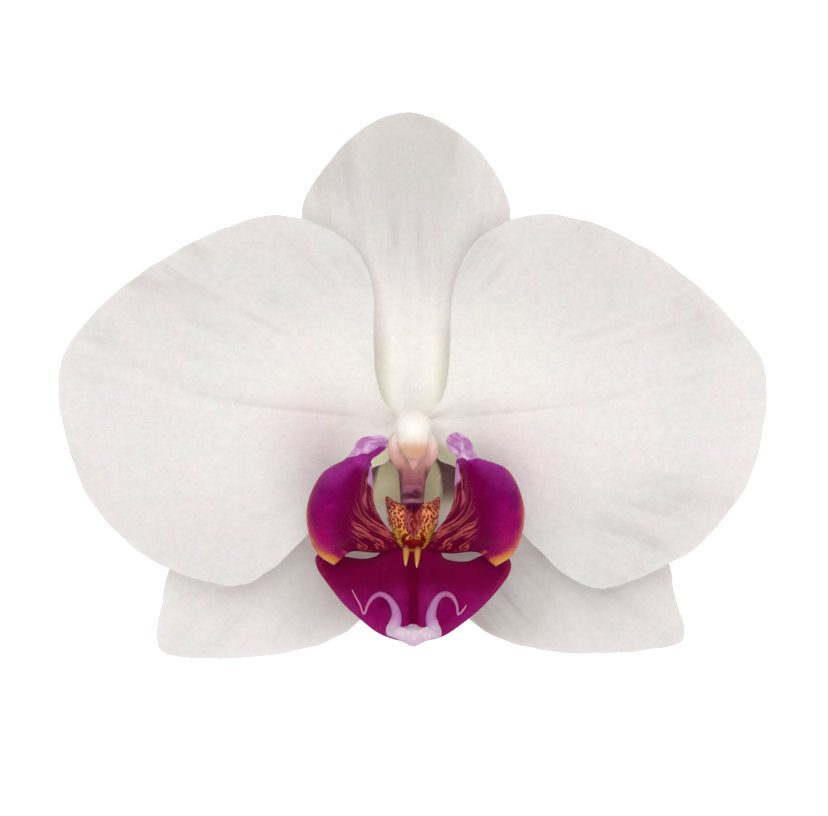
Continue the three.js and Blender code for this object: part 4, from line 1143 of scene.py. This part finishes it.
def colour(name, description, default):
    """A colour with its alpha."""
    return FloatVectorProperty(name=name, description=description, default=default, size=4, subtype="COLOR",
                               min=0.0, max=1.0)


class OrchidSizes(bpy.types.PropertyGroup):
    petal_thickness: length("Petal thickness", "Petals and sepals in the middle", 0.9 * MM)
    petal_rim: length("Petal rim", "Petals and sepals at their margins", 0.35 * MM)
    lip_thickness: length("Lip thickness", "Lip blades in the middle", 0.8 * MM)
    lip_rim: length("Lip rim", "Lip blades at their margins", 0.3 * MM)
    table: length("Table", "Side of the white table", 3.0)
    camera_distance: length("Camera distance", "From the camera to the petals", 1.0)
    camera_aside: length("Camera aside", "How far right of the bloom's middle the camera stands", 0.0001)
    camera_below: length("Camera below", "How far below the bloom's middle the camera stands", 0.003106)
    view_width: length("View width", "What the camera sees across, at the petals", 0.1118)
    key_size: length("Key light size", "Side of the soft light above the dorsal sepal", 0.55)
    fill_size: length("Fill light size", "Side of the soft light above the lip", 0.6)


class OrchidColours(bpy.types.PropertyGroup):
    cool: colour("Cool white", "Petals in their cooler patches", tint(236, 236, 234))
    blush: colour("Blush white", "Petals in their pinker patches", tint(241, 234, 235))
    cream: colour("Cream", "Petals near the centre", tint(250, 247, 240))
    # Painted shade on the upper petals and sepals, and the veins' own colour.
    grey: colour("Grey", "Upper petals, sepals and veins", tint(214, 211, 207))
    streaks: colour("Streaks", "Lengthwise streaks of the petals and sepals", tint(196, 190, 187))
    # Painted pinkish shade on the petals beside the lip.
    pink: colour("Pink", "Petals beside the lip", tint(232, 219, 221))
    # The sepals' own green at their bases, and painted shade on the petals' claws and the dorsal sepal's
    # base.
    green: colour("Green", "Bases of the petals and sepals, behind the column", tint(224, 224, 186))
    # Painted shade round the sepals' pale ovals, with some purple tint of their own.
    stain_and_shade: colour("Stain", "Purple marks at the sepals' bases", tint(104, 40, 58))
    magenta: colour("Magenta", "Lip", tint(134, 2, 102))
    rose: colour("Rose", "Lower part of the side lobes", tint(192, 10, 96))
    deep: colour("Deep magenta", "Lip in its darker patches", tint(112, 0, 72))
    violet: colour("Violet", "Sheen of the lip's shoulders", tint(160, 48, 142))
    # Also the painted shade in the midlobe's grooves and in the callus's notch.
    maroon: colour("Maroon", "Throat of the lip", tint(106, 0, 42))
    rim_red: colour("Red rim", "Inner part of the side lobes' rims", tint(172, 44, 70))
    rim_orange: colour("Orange rim", "Side lobes' rims", tint(204, 98, 58))
    yellow: colour("Yellow", "Corners of the side lobes and edge of the callus", tint(214, 150, 56))
    mauve: colour("Mauve", "Ears of the side lobes", tint(184, 118, 176))
    pale_mauve: colour("Pale mauve", "Ears, in their paler patches", tint(228, 188, 222))
    stripe_pink: colour("Pink stripes", "Stripes in the throat", tint(186, 86, 112))
    stripe_orange: colour("Orange stripes", "Stripes near the callus", tint(190, 82, 76))
    orange: colour("Orange", "Cheeks of the callus", tint(242, 150, 98))
    callus_pink: colour("Callus pink", "Middle of the callus", tint(186, 86, 94))
    spot: colour("Spots", "Spots and stripes of the callus", tint(116, 10, 26))
    chin: colour("Chin", "Dark patch on the callus", tint(118, 0, 16))
    tip_white: colour("Tip white", "Lip tip", tint(246, 238, 242))
    tip_mauve: colour("Tip mauve", "Where the tendrils rise", tint(188, 128, 184))
    tendril: colour("Tendril", "Tendrils", tint(170, 86, 144))
    tendril_end: colour("Tendril end", "Thin ends of the tendrils", tint(226, 150, 176))
    cap: colour("Cap", "Anther cap", tint(254, 246, 238))
    stalk: colour("Stalk", "Stalk", tint(160, 176, 108))
    stalk_pale: colour("Pale stalk", "Stalk in its paler patches", tint(190, 200, 146))


# ------------------------------------------------------------------ studio
WORLD_LIGHT = 0.33
KEY_PLACE, KEY_POWER = (-0.1, 0.3, 0.65), 2.5  # metres from the bloom's middle, and watts
FILL_PLACE, FILL_POWER = (0.14, -0.32, 0.62), 2.2
SENSOR = 36  # millimetres across the camera's sensor


def add_softbox(name, place, target, size, power):
    """A square soft light that faces the bloom."""
    light = bpy.data.lights.new(name, "AREA")
    light.size = size
    light.energy = power
    lamp = bpy.data.objects.new(name, light)
    bpy.context.collection.objects.link(lamp)
    lamp.location = place
    lamp.rotation_euler = (place - target).to_track_quat("Z", "Y").to_euler()


# ------------------------------------------------------------------ operators
class ORCHID_OT_tepals(bpy.types.Operator):
    """Build the two petals and three sepals"""

    bl_idname = "orchid.tepals"
    bl_label = "Petals and sepals"

    def execute(self, context):
        sizes, colours = context.scene.orchid_sizes, context.scene.orchid_colours
        petals = tepal_finish("petal_tissue", colours, 0.4)
        sepals = tepal_finish("sepal_tissue", colours, 0.9)
        for side, sign, shares, seed in (("left", -1, PETAL_LEFT, 1.0), ("right", 1, PETAL_RIGHT, 4.0)):
            node = f"petal_{side}"
            outline = boxed_outline(shares, node, TEPAL_AROUND, seed)
            height = partial(petal_height, seed=seed)
            tepal(node, outline, height, petal_marks, petals, (-3 * sign, 0), (sign, 0.1), sizes)

        seed = 7.0
        outline = boxed_outline(DORSAL_SEPAL, "dorsal_sepal", TEPAL_AROUND, seed)
        height = partial(dorsal_height, seed=seed)
        tepal("dorsal_sepal", outline, height, dorsal_marks, sepals, (0, -22), (0, 1), sizes)

        for side, sign, shares, seed in (("left", -1, LATERAL_SEPAL_LEFT, 10.0),
                                         ("right", 1, LATERAL_SEPAL_RIGHT, 13.0)):
            node = f"lateral_sepal_{side}"
            outline = boxed_outline(shares, node, TEPAL_AROUND, seed)
            height = partial(lateral_height, seed=seed, farthest=np.hypot(*outline.T).max())
            tepal(node, outline, height, lateral_marks, sepals, (-12 * sign, 8), (sign * 0.75, -0.66), sizes)
        return {"FINISHED"}


class ORCHID_OT_lip(bpy.types.Operator):
    """Build the lip: midlobe, side lobes, callus, teeth, tendrils and claw"""

    bl_idname = "orchid.lip"
    bl_label = "Lip"

    def execute(self, context):
        sizes, colours = context.scene.orchid_sizes, context.scene.orchid_colours
        velvet = lip_finish(colours)
        spotted = callus_finish(colours)
        pieces = [
            midlobe(velvet, sizes),
            side_lobe("lip_side_lobe_left", -1, EAR_LEFT, 1.0, velvet, sizes),
            side_lobe("lip_side_lobe_right", 1, EAR_RIGHT, 1.05, velvet, sizes),
            claw(velvet),
            callus(spotted),
            teeth(tooth_finish(colours)),
            tendrils(tendril_finish(colours)),
        ]
        for piece in pieces:
            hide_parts("labellum")
        return {"FINISHED"}


class ORCHID_OT_column(bpy.types.Operator):
    """Build the column and its anther cap, and finish the pollen masses under it"""

    bl_idname = "orchid.column"
    bl_label = "Column, cap and pollen"

    def execute(self, context):
        colours = context.scene.orchid_colours
        column(column_finish())
        anther_cap(cap_finish(colours))
        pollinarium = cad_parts["pollinarium"].data
        pollinarium.materials.clear()
        pollinarium.materials.append(pollen_finish())
        return {"FINISHED"}


class ORCHID_OT_stalk(bpy.types.Operator):
    """Build the ovary and stalk"""

    bl_idname = "orchid.stalk"
    bl_label = "Stalk"

    def execute(self, context):
        stalk(stalk_finish(context.scene.orchid_colours))
        return {"FINISHED"}


class ORCHID_OT_stage(bpy.types.Operator):
    """Set up the floor, lights and camera"""

    bl_idname = "orchid.stage"
    bl_label = "Stage"

    def execute(self, context):
        scene, sizes = context.scene, context.scene.orchid_sizes
        low, high = (Vector(corner) for corner in CAD_BOX)
        bpy.ops.mesh.primitive_grid_add(x_subdivisions=8, y_subdivisions=8, size=sizes.table,
                                        location=(0, 0, low[2]))
        floor = context.object
        floor.name = "table"
        floor.data.materials.append(floor_finish())

        world = bpy.data.worlds.new("studio")
        world.use_nodes = True
        background = world.node_tree.nodes["Background"]
        background.inputs["Color"].default_value = (1, 1, 1, 1)
        background.inputs["Strength"].default_value = WORLD_LIGHT
        scene.world = world

        centre = (low + high) / 2
        add_softbox("key", centre + Vector(KEY_PLACE), centre, sizes.key_size, KEY_POWER)
        add_softbox("fill", centre + Vector(FILL_PLACE), centre, sizes.fill_size, FILL_POWER)

        camera = bpy.data.objects.new("camera", bpy.data.cameras.new("camera"))
        context.collection.objects.link(camera)
        camera.data.sensor_width = SENSOR
        camera.data.lens = SENSOR * sizes.camera_distance / sizes.view_width
        camera.data.clip_end = 10
        petal_low, petal_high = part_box("petal_left")
        petals = (petal_low[2] + petal_high[2]) / 2
        camera.location = (centre.x + sizes.camera_aside, centre.y - sizes.camera_below,
                           petals + sizes.camera_distance)
        scene.camera = camera
        scene.view_settings.view_transform = "Standard"
        scene.view_settings.look = "None"
        return {"FINISHED"}


STEPS = (ORCHID_OT_stage, ORCHID_OT_tepals, ORCHID_OT_lip, ORCHID_OT_column, ORCHID_OT_stalk)


class VIEW3D_PT_orchid(bpy.types.Panel):
    """Lists the bloom's pieces and the sizes and colours behind them"""

    bl_label = "Orchid bloom"
    bl_space_type = "VIEW_3D"
    bl_region_type = "UI"
    bl_category = "Orchid"

    def draw(self, context):
        for step in STEPS:
            self.layout.operator(step.bl_idname)
        for settings in (context.scene.orchid_sizes, context.scene.orchid_colours):
            box = self.layout.box()
            for key in settings.__annotations__:
                box.prop(settings, key)


CLASSES = (OrchidSizes, OrchidColours, *STEPS, VIEW3D_PT_orchid)


def register():
    for item in CLASSES:
        bpy.utils.register_class(item)
    bpy.types.Scene.orchid_sizes = PointerProperty(type=OrchidSizes)
    bpy.types.Scene.orchid_colours = PointerProperty(type=OrchidColours)


def unregister():
    del bpy.types.Scene.orchid_colours
    del bpy.types.Scene.orchid_sizes
    for item in reversed(CLASSES):
        bpy.utils.unregister_class(item)


def main():
    register()
    bpy.ops.orchid.stage()
    bpy.ops.orchid.tepals()
    bpy.ops.orchid.lip()
    bpy.ops.orchid.column()
    bpy.ops.orchid.stalk()


if __name__ == "__main__":
    main()
